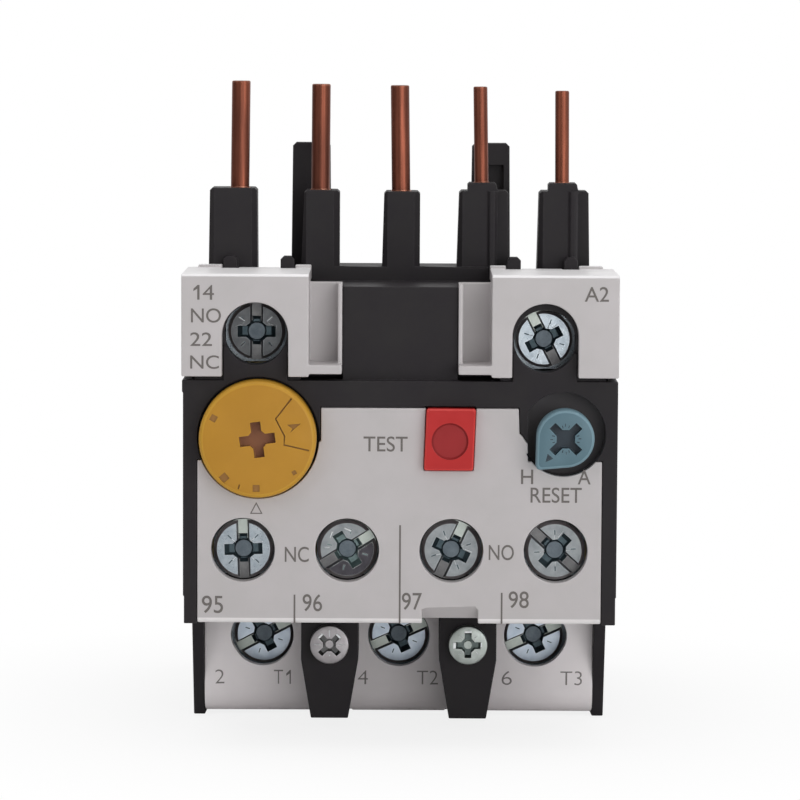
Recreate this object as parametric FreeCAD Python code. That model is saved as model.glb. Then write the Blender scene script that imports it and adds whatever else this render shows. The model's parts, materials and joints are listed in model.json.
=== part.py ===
import FreeCAD, Part
import math
import os

from FreeCAD import Vector

# Three-pole thermal overload relay that plugs into the underside of a small contactor.
# Millimetres. X runs to the right, Z up, and Y from the front to the back.
# Places along Y are written as depths behind the face of the front panel.
# The origin is the middle of the bounding box, on the underside of the side flanges.

# Overall sizes
module_width = 45.0
body_depth = 57.5
knob_stand = 2.5
panel_y = (knob_stand - body_depth) / 2
half_width = module_width / 2

# Common thicknesses and clearances
wall = 1.6
running_gap = 0.03
seat_gap = 0.1
free_gap = 0.3

# Front housing, seen from the front
front_bottom = 13.3
step_low = 16.2
step_high = 37.4
step_offset = 0.2
band_top = 38.65
box_top = 48.3
shelf_centre_top = 49.8
shelf_side_top = 48.9
shelf_depth = 10.9
split_depth = 18.0
face_depth = 0.2
centre_box_depth = 1.5
collar_depth = 0.7
collar_wall = 1.5
upper_depth = 5.0

# Mechanism cavity behind the front wall
front_wall = 1.4
cavity_half = half_width - step_offset - wall - free_gap
cavity_floor = 25.8
cavity_roof = 36.6
rear_pocket_depth = 11.9

# Front panel
panel_half = half_width - 1.6
panel_thickness = 1.6
panel_bottom = front_bottom + 0.1
panel_top = 35.85
panel_shoulder = 30.35
panel_ledge = 32.33
panel_side_gap = 0.05
notch_half = 2.9
notch_height = 1.8
notch_back_height = 0.28
notch_corner = 0.35

# Setting dial and its cam
dial_side = 7.87
dial_x = dial_side - half_width
dial_z = 32.7
dial_radius = 6.05
dial_stand = 2.0
dial_back = 1.35
dial_edge = 0.5
dial_stem_radius = 2.2
dial_pin_half = 1.1
dial_rim_gap = 0.25
dial_cross_length = 3.6
dial_cross_width = 1.05
dial_cross_depth = 0.9
dial_cross_turn = 8.0
dial_pilot_radius = 0.65
cam_front = 5.0
cam_length = 3.0
cam_radius = 2.6
cam_throw = 0.25
cam_angle = 70.0
cam_gap = 0.15

# Test button
test_share = 0.228
test_x = half_width * test_share
test_z = 32.7
test_width = 5.08
test_height = 6.4
test_stand = 1.0
test_back = 3.0
test_side_gap = 0.12
test_corner = 0.25
test_dimple_radius = 1.9
test_dimple_depth = 0.35
test_flange = 0.9
test_flange_rise = 0.5
test_flange_length = 0.8
test_stem_half = 1.3
test_neck_half = 2.0
trip_travel = 1.5

# Reset knob and plunger
reset_side = 5.58
reset_x = half_width - reset_side
reset_z = 33.2
reset_radius = 3.03
reset_tip = 4.15
reset_tip_round = 0.35
reset_travel = 2.2
reset_back = 0.2
reset_pocket_radius = 4.35
reset_pocket_depth = reset_back + reset_travel + 0.2
reset_floor = 1.2
reset_stem_half = 1.3
reset_hub_radius = 0.9
reset_flange_half = 2.5
reset_flange_length = 0.8
reset_tip_angle = 225.0

# Sides of the panel's raised middle part, the right one in steps measured from the reset knob
neck_left = dial_x + 6.5
neck_right = reset_x - 4.66
neck_steps = ((-3.67, -2.0), (-3.72, -1.0), (-4.32, -0.15), (-4.56, 0.0))

# Springs behind the two push controls
spring_wire = 0.4
spring_radius = 2.25
spring_turns = 4
spring_sides = 8
test_seat_depth = 7.3
reset_seat_depth = 9.0
seat_thickness = 0.8
test_seat_half = 3.55
reset_seat_reach = 3.72
reset_seat_drop = 4.0

# Screw terminals
aux_margin = 1.84
aux_pitch = (module_width - aux_margin) / 4
aux_z = 21.05
aux_hole_radius = 3.3
aux_head_depth = 4.0
aux_bar_depth = 9.0
aux_wall = 2.19
aux_chamber_half = (aux_pitch - aux_wall) / 2
aux_chamber_top = 24.6
aux_chamber_depth = 13.5
aux_plate_half = aux_chamber_half - 0.7
aux_plate_low = aux_z - 3.4
aux_riser_half = 1.8
small_head_radius = 2.95
small_head_length = 1.8
small_thread_radius = 1.7
small_clamp_half = aux_chamber_half - 1.05
small_clamp_length = 1.1
small_shank_out = 0.6

upper_side = 7.57
upper_x = half_width - upper_side
upper_left_z = 43.45
upper_right_z = 42.8
upper_hole_radius = 3.2
upper_head_depth = 3.6
upper_bar_depth = 8.5
upper_chamber_half = 3.55
upper_plate_half = upper_chamber_half - 0.25
upper_chamber_bottom = 39.1
upper_chamber_top = 46.9
upper_chamber_depth = 11.6
arch_radius = 3.4
arch_top = 46.75
tongue_half = arch_radius - seat_gap
tongue_drop = 1.2
tongue_back = 1.2

# Terminal shroud
shroud_depth = split_depth + 2.4
shroud_thickness = 1.6
shroud_skin = 1.2
shroud_half = half_width - 2.2
shroud_bottom = 0.4
shroud_top = 13.2
shroud_round = 2.6

# Rear housing
rear_top = 46.7
rear_inside_top = 45.1
rear_inside_half = half_width - 1.8
rear_floor = 15.5
rear_chamfer = 2.0
chamber_roof = rear_floor - 2.1
chamber_wall = 1.2
partition_half = 1.1
flange_half = half_width - 0.1
flange_front = split_depth
flange_slope_top = 10.7
flange_slope_depth = flange_front + 4.0

# Main terminals
pole_margin = 0.6
pole_pitch = (module_width - pole_margin) / 3
main_z = 8.6
main_hole_radius = 3.35
main_head_depth = shroud_depth + 3.6
main_head_radius = 3.0
main_head_length = 2.2
main_thread_radius = 1.95
main_plate_half = rear_inside_half - pole_pitch - 1.3
main_plate_drop = 5.6
main_clamp_half = main_plate_half - 0.5
main_clamp_length = 1.4
main_travel = 1.75
main_wire_gap = 1.85
main_bar_depth = main_head_depth + main_head_length + main_clamp_length + main_travel + main_wire_gap
main_bar_top = chamber_roof - 0.2
main_shelf_half = main_plate_half - 1.6
main_shank_out = 0.6
bar_thickness = 1.0
chamber_back = main_bar_depth + 5.8

# Fins and the screws that hold the two housings together
fin_x = pole_pitch / 2
fin_half = 3.06
fin_tip_half = 1.99
fin_depth = shroud_depth - 7.4
fin_taper_z = 7.5
fin_bottom = 1.2
joint_screw_z = 9.3
joint_head_radius = 2.0
joint_head_length = 1.2
joint_shank_radius = 1.25
joint_shank_end = shroud_depth + 9.6
joint_boss_half = 2.2

# Hooks that catch the contactor
hook_x = half_width - 12.9
hook_half = 2.0
hook_lean = 0.17
hook_corner = 0.35
hook_depth = split_depth
hook_thickness = 2.2
hook_top = 62.7
hook_lip = 1.4
hook_lip_height = 2.4
hook_window_half = 1.35
hook_window_depth = 1.1
hook_window_bottom = 57.6
hook_window_top = 60.35

# Connection pins and their sleeves
pin_margin = 10.88
pin_pitch = (module_width - pin_margin) / 4
pin_depth = shelf_depth + 2.3
main_pin_radius = 0.98
control_pin_radius = 0.74
pin_foot_step = 0.1
pin_tops = (69.3, 69.0, 68.9, 68.8, 68.4)
pin_level = 43.8
control_foot_z = 41.4
control_tab_half = 1.3
strap_width = 2.6
strap_thickness = 0.8
sleeve_front = shelf_depth
sleeve_back = sleeve_front + 4.8
sleeve_chamfer = 0.6
sleeve_corner = 0.25
control_face = sleeve_front + 0.35
control_rib = (0.6, 0.85, 1.35, 1.6)
control_wing_front = sleeve_front + 1.7
collar_left = 1.5
collar_right = 1.7
main_sleeve_top = 58.05
control_sleeve_top = 57.85
control_collar_top = 58.7

# Covers of the two upper terminals
cover_inner = half_width - 13.1
cover_wing_inner = cover_inner - 3.4
cover_inner_wall = 0.8
cover_bottom = 39.1
cover_top = 49.7
cover_stand = 1.0
cover_thickness = 1.5
cover_side = 1.2
cover_roof = 1.2
cover_back = shelf_depth
cover_ridge_length = 1.2
cover_ridge_height = 0.32
wing_depth = 4.0
wing_thickness = 0.9
wing_bottom = 39.4
wing_top = 48.6
wing_lip = 0.95
wing_rim = 0.45
tab_offset = 3.0
tab_half = 0.72
tab_top = 50.95
tab_front = shelf_depth - 1.3
centre_box_half = cover_wing_inner - 0.05
collar_inner = cover_inner + cover_inner_wall + seat_gap

# Bimetal strips and their heater windings
bimetal_half = 0.6
bimetal_front = main_bar_depth + 4.8
bimetal_width = 5.0
bimetal_bottom = 14.6
bimetal_top = 42.4
winding_bottom = 20.0
winding_turns = 5
winding_pitch = 3.7
winding_ribbon = 1.8
winding_gap = 0.3
winding_thickness = 0.6
winding_link_half = 0.8
winding_link_offset = 1.0

# Trip mechanism
slide_bottom = 39.6
slide_thickness = 1.2
slide_front = bimetal_front - 5.0
slide_bar = 3.6
finger_width = 1.0
lever_arm = 8.0
lever_x = dial_x - 2.57
lever_depth = slide_front - 6.5
lever_pin_radius = 1.0
lever_hub_half = 1.7
lever_bottom = 31.3
lever_thickness = 2.0
lever_top = 35.2
compensator_thickness = 0.7
compensator_play = 0.9
nose_radius = 0.8
nose_play = 0.3
setting_pivot_x = dial_x - 3.77
setting_pivot_depth = 16.5
setting_bottom = 29.75
setting_thickness = 1.1
carrier_bottom = 31.6
carrier_top = 33.8
carrier_front = 8.2
carrier_depth = 3.0
carrier_leg_x = aux_pitch
carrier_leg_half = 0.9
bridge_half = 3.1
bridge_z = 28.2
bridge_height = 1.8
bridge_thickness = 0.5
contact_half = 0.7
contact_height = 0.5
contact_offset = bridge_half - contact_half - 0.1
contact_arm_half = 0.9
contact_arm_low = cavity_floor + 0.1
contact_arm_high = bridge_z + 1.1

# Ribs between the poles
pole_rib_half = 0.6
pole_rib_front = bimetal_front - 6.0
pole_rib_top = 39.5


def box(x0, x1, d0, d1, z0, z1):
    corner = Vector(x0, panel_y + d0, z0)
    return Part.makeBox(x1 - x0, d1 - d0, z1 - z0, corner)


def rod(x, z, radius, d0, d1):
    foot = Vector(x, panel_y + d0, z)
    return Part.makeCylinder(radius, d1 - d0, foot, Vector(0, 1, 0))


def post(x, d, radius, z0, z1):
    foot = Vector(x, panel_y + d, z0)
    return Part.makeCylinder(radius, z1 - z0, foot, Vector(0, 0, 1))


def square_rod(x, z, half, d0, d1):
    return box(x - half, x + half, d0, d1, z - half, z + half)


def front_profile(points, d0, d1):
    corners = [Vector(x, panel_y + d0, z) for x, z in points]
    face = Part.Face(Part.makePolygon(corners + corners[:1]))
    return face.extrude(Vector(0, d1 - d0, 0))


def side_profile(points, x0, x1):
    corners = [Vector(x0, panel_y + d, z) for d, z in points]
    face = Part.Face(Part.makePolygon(corners + corners[:1]))
    return face.extrude(Vector(x1 - x0, 0, 0))


def plan_profile(points, z0, z1):
    corners = [Vector(x, panel_y + d, z0) for x, d in points]
    face = Part.Face(Part.makePolygon(corners + corners[:1]))
    return face.extrude(Vector(0, 0, z1 - z0))


def mirrored(shape):
    return shape.mirror(Vector(0, 0, 0), Vector(1, 0, 0))


def both_sides(shape):
    return [shape, mirrored(shape)]


def fuse(shapes):
    return shapes[0].multiFuse(shapes[1:]).removeSplitter()


def save(name, shape):
    shape.exportStep(os.path.join("parts", name + ".step"))


aux_places = [aux_pitch * (i - 1.5) for i in range(4)]
poles = [pole_pitch * (i - 1) for i in range(3)]
pins = [pin_pitch * (i - 2) for i in range(5)]
upper_places = [(-upper_x, upper_left_z), (upper_x, upper_right_z)]


# Places that several pieces share
def pin_radius(i):
    return main_pin_radius if i < 3 else control_pin_radius


def sleeve_top(i):
    tops = (main_sleeve_top, main_sleeve_top - 0.2, main_sleeve_top - 0.3)
    return tops[i] if i < 3 else control_collar_top


def square_post(x, d, half, z0, z1):
    return box(x - half, x + half, d - half, d + half, z0, z1)


def stepped_pin(i, foot_z):
    foot = square_post(pins[i], pin_depth, pin_radius(i) + pin_foot_step, foot_z, sleeve_top(i))
    return foot.fuse(post(pins[i], pin_depth, pin_radius(i), sleeve_top(i), pin_tops[i]))


def panel_outline(grown, bottom):
    left = -panel_half - grown
    right = panel_half + grown
    shoulder = panel_shoulder + grown
    ledge = panel_ledge + grown
    top = panel_top + grown
    steps = [(reset_x + dx + grown, reset_z + dz + grown) for dx, dz in neck_steps]
    points = [(left, bottom), (right, bottom), (right, shoulder), (steps[0][0], shoulder)]
    points += steps
    points += [(neck_right + grown, top), (neck_left - grown, top), (neck_left - grown, ledge)]
    points += [(dial_x, ledge), (dial_x, shoulder), (left, shoulder)]
    return points


def reset_pocket(d0, d1):
    pocket = rod(reset_x, reset_z, reset_pocket_radius, d0, d1)
    far = reset_pocket_radius + 1
    dx, dz = neck_steps[0]
    return pocket.cut(box(reset_x - far, reset_x + dx, d0 - 1, d1 + 1, reset_z + dz, reset_z + far))


def body_outline():
    low = half_width - 2 * step_offset
    middle = half_width - step_offset
    return [
        (-low, front_bottom),
        (low, front_bottom),
        (low, step_low),
        (middle, step_low),
        (middle, step_high),
        (half_width, step_high),
        (half_width, band_top),
        (-half_width, band_top),
        (-half_width, step_high),
        (-middle, step_high),
        (-middle, step_low),
        (-low, step_low),
    ]


# Front housing
def tapered_block(x0, x1, lean_left, lean_right, plan, top):
    low = shelf_side_top - 0.5
    shoulder = top - sleeve_corner
    outline = [
        (x0, low),
        (x1, low),
        (x1 - lean_right, shoulder),
        (x1 - lean_right - sleeve_corner, top),
        (x0 + lean_left + sleeve_corner, top),
        (x0 + lean_left, shoulder),
    ]
    block = front_profile(outline, sleeve_front - 1, sleeve_back + 1)
    return block.common(plan_profile(plan, low, top))


def main_sleeve(i, left, right, lean_left, lean_right):
    x0 = pins[i] - left
    x1 = pins[i] + right
    cut = sleeve_chamfer
    plan = [
        (x0, sleeve_front + cut),
        (x0 + cut, sleeve_front),
        (x1 - cut, sleeve_front),
        (x1, sleeve_front + cut),
        (x1, sleeve_back - cut),
        (x1 - cut, sleeve_back),
        (x0 + cut, sleeve_back),
        (x0, sleeve_back - cut),
    ]
    return tapered_block(x0, x1, lean_left, lean_right, plan, sleeve_top(i))


def main_sleeves():
    first = main_sleeve(0, 3.25, 1.92, 0.14, 0.07)
    second = main_sleeve(1, 2.05, 2.05, 0.38, 0.0)
    third = main_sleeve(2, 2.02, 2.02, 0.24, 0.0)
    return [first, second, third]


def control_sleeve(x, left, right, lean_left, lean_right):
    x0 = x - left
    x1 = x + right
    cut = sleeve_chamfer
    rib = [x + offset for offset in control_rib]
    plan = [
        (x0, control_face + cut),
        (x0 + cut, control_face),
        (rib[0], control_face),
        (rib[1], sleeve_front),
        (rib[2], sleeve_front),
        (rib[3], control_face),
        (rib[3], control_wing_front),
        (x1, control_wing_front),
        (x1, sleeve_back - cut),
        (x1 - cut, sleeve_back),
        (x0 + cut, sleeve_back),
        (x0, sleeve_back - cut),
    ]
    body = tapered_block(x0, x1, lean_left, lean_right, plan, control_sleeve_top)
    return body.fuse(sleeve_collar(x))


def sleeve_collar(x):
    low = control_sleeve_top - 0.2
    top = control_collar_top
    outline = [
        (x - collar_left, low),
        (x + collar_right, low),
        (x + collar_right - 0.2, top - 0.15),
        (x + collar_right - 0.35, top),
        (x - collar_left + 0.2, top),
        (x - collar_left, top - 0.2),
    ]
    return front_profile(outline, control_face, sleeve_back - 1)


def fin(x):
    outline = [
        (x - fin_half, front_bottom),
        (x + fin_half, front_bottom),
        (x + fin_half, fin_taper_z),
        (x + fin_tip_half, fin_bottom),
        (x - fin_tip_half, fin_bottom),
        (x - fin_half, fin_taper_z),
    ]
    return front_profile(outline, fin_depth, shroud_depth)


def cover_tab(x):
    low = box_top - 0.5
    cut = tab_half / 2
    outline = [
        (x - tab_half, low),
        (x + tab_half, low),
        (x + tab_half, tab_top - cut),
        (x + cut, tab_top),
        (x - cut, tab_top),
        (x - tab_half, tab_top - cut),
    ]
    return front_profile(outline, tab_front, shelf_depth)


def tongue(x, z):
    return box(x - tongue_half, x + tongue_half, face_depth, tongue_back, band_top - 0.5, z - tongue_drop)


def front_solids():
    upper_half = half_width - cover_side - seat_gap
    shelf_half = half_width - seat_gap
    centre_half = cover_inner - seat_gap
    low = band_top - 0.5
    solids = [front_profile(body_outline(), face_depth, split_depth)]
    solids.append(box(-upper_half, upper_half, upper_depth, split_depth, low, box_top))
    solids.append(box(-centre_box_half, centre_box_half, centre_box_depth, upper_depth + 1, low, box_top))
    solids.append(box(-shelf_half, shelf_half, shelf_depth, split_depth, low, shelf_side_top))
    solids.append(box(-centre_half, centre_half, shelf_depth, split_depth, low, shelf_centre_top))
    solids += both_sides(box(collar_inner, upper_half, collar_depth, upper_depth, low, box_top))
    solids += [tongue(x, z) for x, z in upper_places]
    solids += main_sleeves()
    solids.append(control_sleeve(pins[3], 2.64, 2.94, 0.27, 0.12))
    solids.append(control_sleeve(pins[4], 2.66, 2.96, 0.22, 0.17))
    solids += [fin(-fin_x), fin(fin_x)]
    for side in (-1, 1):
        for offset in (-tab_offset, tab_offset):
            solids.append(cover_tab(side * upper_x + offset))
    return fuse(solids)


def front_cavities():
    front = panel_thickness + front_wall
    cuts = [box(-cavity_half, cavity_half, front, split_depth, cavity_floor, cavity_roof)]
    cuts.append(box(-cavity_half, cavity_half, rear_pocket_depth, split_depth, cavity_floor, rear_inside_top))
    cuts.append(front_profile(panel_outline(panel_side_gap, front_bottom), -1, panel_thickness))
    slot_front = aux_bar_depth - seat_gap
    slot_back = aux_bar_depth + bar_thickness + seat_gap
    slot_half = aux_riser_half + free_gap
    for x in aux_places:
        low = x - aux_chamber_half
        high = x + aux_chamber_half
        cuts.append(box(low, high, 0, aux_chamber_depth, front_bottom - 1, aux_chamber_top))
        low = x - slot_half
        high = x + slot_half
        cuts.append(box(low, high, slot_front, slot_back, aux_chamber_top - 1, cavity_floor + 1))
    wall_back = collar_depth + collar_wall
    for x, z in upper_places:
        low = x - upper_chamber_half
        high = x + upper_chamber_half
        cuts.append(box(low, high, wall_back, upper_chamber_depth, upper_chamber_bottom, upper_chamber_top))
        cuts.append(rod(x, z, upper_hole_radius, -1, wall_back + 0.1))
    return cuts


def front_passages():
    link_front = upper_bar_depth - seat_gap
    link_back = upper_bar_depth + bar_thickness + seat_gap
    tab_low = control_foot_z - bar_thickness - seat_gap
    low = tab_low - 1.0
    high = control_foot_z + seat_gap
    reach = control_tab_half + seat_gap
    cuts = [box(-upper_x, pins[3] + reach, link_front, link_back, low, high)]
    cuts.append(box(upper_x, pins[4] + reach, link_front, link_back, low, high))
    for x in (pins[3], pins[4]):
        cuts.append(box(x - reach, x + reach, upper_bar_depth, rear_pocket_depth + 1, tab_low, high))
    for i, x in enumerate(pins):
        half = pin_radius(i) + pin_foot_step + running_gap
        cuts.append(square_post(x, pin_depth, half, rear_inside_top - 1, control_collar_top + 1))
    for x in (-fin_x, fin_x):
        cuts.append(rod(x, joint_screw_z, joint_shank_radius + seat_gap, fin_depth - 1, shroud_depth + 1))
    return cuts


def test_opening(depth, top):
    half_x = test_width / 2 + test_side_gap
    half_z = test_height / 2 + test_side_gap
    return box(test_x - half_x, test_x + half_x, -1, depth, test_z - half_z, top)


def control_openings():
    cuts = [rod(dial_x, dial_z, dial_radius + dial_rim_gap, -1, panel_thickness)]
    cuts.append(rod(dial_x, dial_z, dial_stem_radius + running_gap, 0, panel_thickness + front_wall + 0.1))
    cuts.append(test_opening(test_back + 0.1, test_z + test_height / 2 + test_side_gap))
    cuts.append(reset_pocket(-1, reset_pocket_depth))
    cuts.append(square_rod(reset_x, reset_z, reset_stem_half + running_gap, 0, reset_seat_depth))
    return cuts


def spring_seats():
    top = cavity_roof + 0.2
    left = test_x - test_seat_half
    right = test_x + test_seat_half
    test_seat = box(left, right, test_seat_depth, test_seat_depth + seat_thickness, cavity_floor - 0.2, top)
    test_seat = test_seat.cut(square_rod(test_x, test_z, test_stem_half + running_gap, 0, split_depth))
    left = reset_x - reset_seat_reach
    right = cavity_half + 0.2
    low = reset_z - reset_seat_drop
    reset_seat = box(left, right, reset_seat_depth, reset_seat_depth + seat_thickness, low, top)
    reset_seat = reset_seat.cut(square_rod(reset_x, reset_z, reset_stem_half + running_gap, 0, split_depth))
    return [test_seat, reset_seat]


def front_housing():
    pad = rod(reset_x, reset_z, reset_pocket_radius + 1.0, panel_thickness, reset_pocket_depth + reset_floor)
    pivot_top = setting_bottom + 2.4
    pivot = post(setting_pivot_x, setting_pivot_depth, lever_pin_radius, cavity_floor - 0.2, pivot_top)
    shape = front_solids().cut(front_cavities() + front_passages())
    shape = fuse([shape, pad, pivot])
    shape = shape.cut(control_openings())
    return fuse([shape] + spring_seats())


# Rear housing
def rear_block():
    block = side_profile(
        [
            (split_depth, chamber_roof),
            (split_depth, rear_top),
            (body_depth - rear_chamfer, rear_top),
            (body_depth, rear_top - rear_chamfer),
            (body_depth, rear_chamfer + shroud_bottom),
            (body_depth - rear_chamfer, shroud_bottom),
            (shroud_depth + shroud_thickness, shroud_bottom),
            (shroud_depth + shroud_thickness, chamber_roof),
        ],
        -flange_half + 0.1,
        flange_half - 0.1,
    )
    return block


def side_flange():
    outline = [
        (flange_front, chamber_roof),
        (flange_front, flange_slope_top),
        (flange_slope_depth, 0),
        (body_depth - rear_chamfer, 0),
        (body_depth, rear_chamfer),
        (body_depth, rear_floor),
        (flange_front, rear_floor),
    ]
    return side_profile(outline, rear_inside_half - 0.2, flange_half)


def rear_cavities():
    half = rear_inside_half
    back = body_depth - wall
    lower_front = chamber_back + chamber_wall
    cuts = [box(-half, half, split_depth - 1, back, rear_floor, rear_inside_top)]
    cuts.append(box(-half, half, lower_front, back, rear_chamfer + 0.5, rear_floor + 1))
    cuts.append(box(-half, half, bimetal_front - 0.5, back, chamber_roof - 1.4, rear_floor + 1))
    edges = [-half, -pole_pitch / 2, pole_pitch / 2, half]
    slot = main_shelf_half + 0.2
    for i in range(3):
        low = edges[i] + (partition_half if i > 0 else 0)
        high = edges[i + 1] - (partition_half if i < 2 else 0)
        cuts.append(box(low, high, shroud_depth, chamber_back, -1, chamber_roof))
        left = poles[i] - slot
        right = poles[i] + slot
        cuts.append(box(left, right, main_bar_depth, lower_front + 1, chamber_roof - 1.4, chamber_roof))
    return cuts


def pole_ribs():
    ribs = []
    back = body_depth - wall + 0.2
    boss_front = shroud_depth + shroud_thickness
    boss_low = joint_screw_z - joint_boss_half
    boss_high = joint_screw_z + joint_boss_half
    for x in (-pole_pitch / 2, pole_pitch / 2):
        left = x - pole_rib_half
        right = x + pole_rib_half
        ribs.append(box(left, right, pole_rib_front, back, rear_floor - 0.2, pole_rib_top))
        ribs.append(box(left, right, bimetal_front - 1, back, rear_chamfer, rear_floor + 0.2))
        left = x - joint_boss_half
        right = x + joint_boss_half
        ribs.append(box(left, right, boss_front, joint_shank_end + 2, boss_low, boss_high))
    return ribs


def hook(side):
    x = side * hook_x
    back = hook_depth + hook_thickness
    outline = [
        (x - hook_half - hook_lean, rear_top - 1),
        (x + hook_half + hook_lean, rear_top - 1),
        (x + hook_half, hook_top - hook_corner),
        (x + hook_half - hook_corner, hook_top),
        (x - hook_half + hook_corner, hook_top),
        (x - hook_half, hook_top - hook_corner),
    ]
    lip_low = hook_top - hook_lip_height
    lip_points = [(back - 0.1, hook_top), (back + hook_lip, lip_low), (back - 0.1, lip_low)]
    lip = side_profile(lip_points, x - hook_half + hook_corner, x + hook_half - hook_corner)
    shape = front_profile(outline, hook_depth, back).fuse(lip)
    if side < 0:
        return shape
    left = x - hook_window_half
    right = x + hook_window_half
    window_back = hook_depth + hook_window_depth
    return shape.cut(box(left, right, hook_depth - 1, window_back, hook_window_bottom, hook_window_top))


def rear_housing():
    shape = fuse([rear_block()] + both_sides(side_flange()))
    shape = shape.cut(rear_cavities())
    return fuse([shape, hook(-1), hook(1)] + pole_ribs())


# Front panel
def panel_notch():
    middle = aux_pitch / 2 - 0.1
    left = middle - notch_half
    right = middle + notch_half
    top = panel_bottom + notch_height
    low = panel_bottom - 1
    back = panel_thickness + 0.1
    ramp_end = (back, panel_bottom + notch_back_height)
    ramp = side_profile([(-0.1, top), ramp_end, (back, low), (-0.1, low)], left, right)
    outline = [
        (left, low),
        (right, low),
        (right, top - notch_corner),
        (right - notch_corner, top),
        (left + notch_corner, top),
        (left, top - notch_corner),
    ]
    return ramp.common(front_profile(outline, -1, back + 1))


def front_panel():
    plate = front_profile(panel_outline(0, panel_bottom), 0, panel_thickness)
    back = panel_thickness + 1
    cuts = [rod(x, aux_z, aux_hole_radius, -1, back) for x in aux_places]
    cuts.append(rod(dial_x, dial_z, dial_radius + dial_rim_gap, -1, back))
    cuts.append(rod(reset_x, reset_z, reset_pocket_radius + 1.0 + seat_gap, 0.8, back))
    cuts.append(reset_pocket(-1, back))
    cuts.append(test_opening(back, panel_top + 1))
    cuts.append(panel_notch())
    return plate.cut(cuts)


# Upper terminal covers
def cover_ridges():
    low = cover_top - 0.2
    high = cover_top + cover_ridge_height
    front = cover_back - cover_ridge_length
    outer = box(upper_x + tab_offset + tab_half, half_width - cover_side, front, cover_back, low, high)
    inner = box(cover_inner, upper_x - tab_offset - tab_half, front, cover_back, low, high)
    return [outer, inner]


def cover_shell():
    plate_back = cover_thickness - cover_stand
    wing_back = wing_depth + wing_thickness
    inner_right = cover_inner + cover_inner_wall
    left = cover_wing_inner
    plate = box(cover_inner, half_width, -cover_stand, plate_back, cover_bottom, cover_top)
    roof = box(cover_inner, half_width, -cover_stand, cover_back, cover_top - cover_roof, cover_top)
    side = box(half_width - cover_side, half_width, -cover_stand, cover_back, cover_bottom, cover_top)
    inner = box(cover_inner, inner_right, -cover_stand, wing_back, wing_bottom, cover_top)
    wing = box(left, inner_right, wing_depth, wing_back, wing_bottom, wing_top)
    lip = box(left, inner_right, -cover_stand, wing_depth + 0.2, wing_bottom, wing_bottom + wing_lip)
    rim = box(left, left + wing_rim, centre_box_depth - 0.5, wing_depth + 0.2, wing_bottom, wing_top)
    return fuse([plate, roof, side, inner, wing, lip, rim] + cover_ridges())


def right_cover():
    arch_middle = arch_top - arch_radius
    left = upper_x - arch_radius
    right = upper_x + arch_radius
    cuts = [rod(upper_x, arch_middle, arch_radius, -2, upper_depth)]
    cuts.append(box(left, right, -2, upper_depth, cover_bottom - 1, arch_middle))
    notch_half_width = tab_half + seat_gap
    for offset in (-tab_offset, tab_offset):
        x = upper_x + offset
        left = x - notch_half_width
        right = x + notch_half_width
        cuts.append(box(left, right, tab_front - seat_gap, cover_back + 1, cover_top - 2, cover_top + 1))
    return cover_shell().cut(cuts)


# Terminal shroud
def shroud_section():
    front = shroud_depth
    back = shroud_depth + shroud_thickness
    points = [(back, shroud_top), (front, shroud_top)]
    steps = 6
    for i in range(steps + 1):
        angle = math.pi / 2 * i / steps
        d = front + shroud_round - shroud_round * math.cos(angle)
        z = shroud_bottom + shroud_round - shroud_round * math.sin(angle)
        points.append((d, z))
    inside = shroud_round - shroud_skin
    for i in range(steps + 1):
        angle = math.pi / 2 * (steps - i) / steps
        d = front + shroud_round - inside * math.cos(angle)
        z = shroud_bottom + shroud_round - inside * math.sin(angle)
        points.append((min(d, back), z) if i == steps else (d, z))
    return points


def terminal_shroud():
    shape = side_profile(shroud_section(), -shroud_half, shroud_half)
    front = shroud_depth - 1
    middle = shroud_depth + shroud_thickness
    back = shroud_depth + shroud_round + 1
    slot = joint_shank_radius + seat_gap
    relief = joint_boss_half + seat_gap
    cuts = [rod(x, main_z, main_hole_radius, front, back) for x in poles]
    for x in (-fin_x, fin_x):
        cuts.append(box(x - slot, x + slot, front, back, joint_screw_z - slot, shroud_top + 1))
        cuts.append(box(x - relief, x + relief, middle, back, shroud_bottom - 1, shroud_top + 1))
    return shape.cut(cuts)


def housing_screws():
    screws = []
    for x in (-fin_x, fin_x):
        head = rod(x, joint_screw_z, joint_head_radius, fin_depth - joint_head_length, fin_depth)
        shank = rod(x, joint_screw_z, joint_shank_radius, fin_depth, joint_shank_end)
        screws.append(head.fuse(shank).removeSplitter())
    return Part.makeCompound(screws)


# Setting dial
def dial_cross():
    long_half = dial_cross_length / 2
    short_half = dial_cross_width / 2
    floor = -dial_stand + dial_cross_depth
    level = box(-long_half, long_half, -5, floor, -short_half, short_half)
    upright = box(-short_half, short_half, -5, floor, -long_half, long_half)
    pilot = rod(0, 0, dial_pilot_radius, -5, floor + 0.8)
    cross = fuse([level, upright, pilot])
    cross.rotate(Vector(0, 0, 0), Vector(0, -1, 0), dial_cross_turn)
    cross.translate(Vector(dial_x, 0, dial_z))
    return cross


def setting_dial():
    disc = rod(dial_x, dial_z, dial_radius, -dial_stand, dial_back)
    rim = [e for e in disc.Edges if abs(e.BoundBox.YMax - (panel_y - dial_stand)) < 0.01]
    disc = disc.makeChamfer(dial_edge, rim)
    stem = rod(dial_x, dial_z, dial_stem_radius, dial_back, cam_front)
    pin = square_rod(dial_x, dial_z, dial_pin_half, cam_front, cam_front + cam_length)
    return fuse([disc, stem, pin]).cut(dial_cross())


def dial_cam():
    angle = math.radians(cam_angle)
    x = dial_x + cam_throw * math.cos(angle)
    z = dial_z + cam_throw * math.sin(angle)
    disc = rod(x, z, cam_radius, cam_front, cam_front + cam_length)
    return disc.cut(square_rod(dial_x, dial_z, dial_pin_half, cam_front - 1, cam_front + cam_length + 1))


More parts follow.
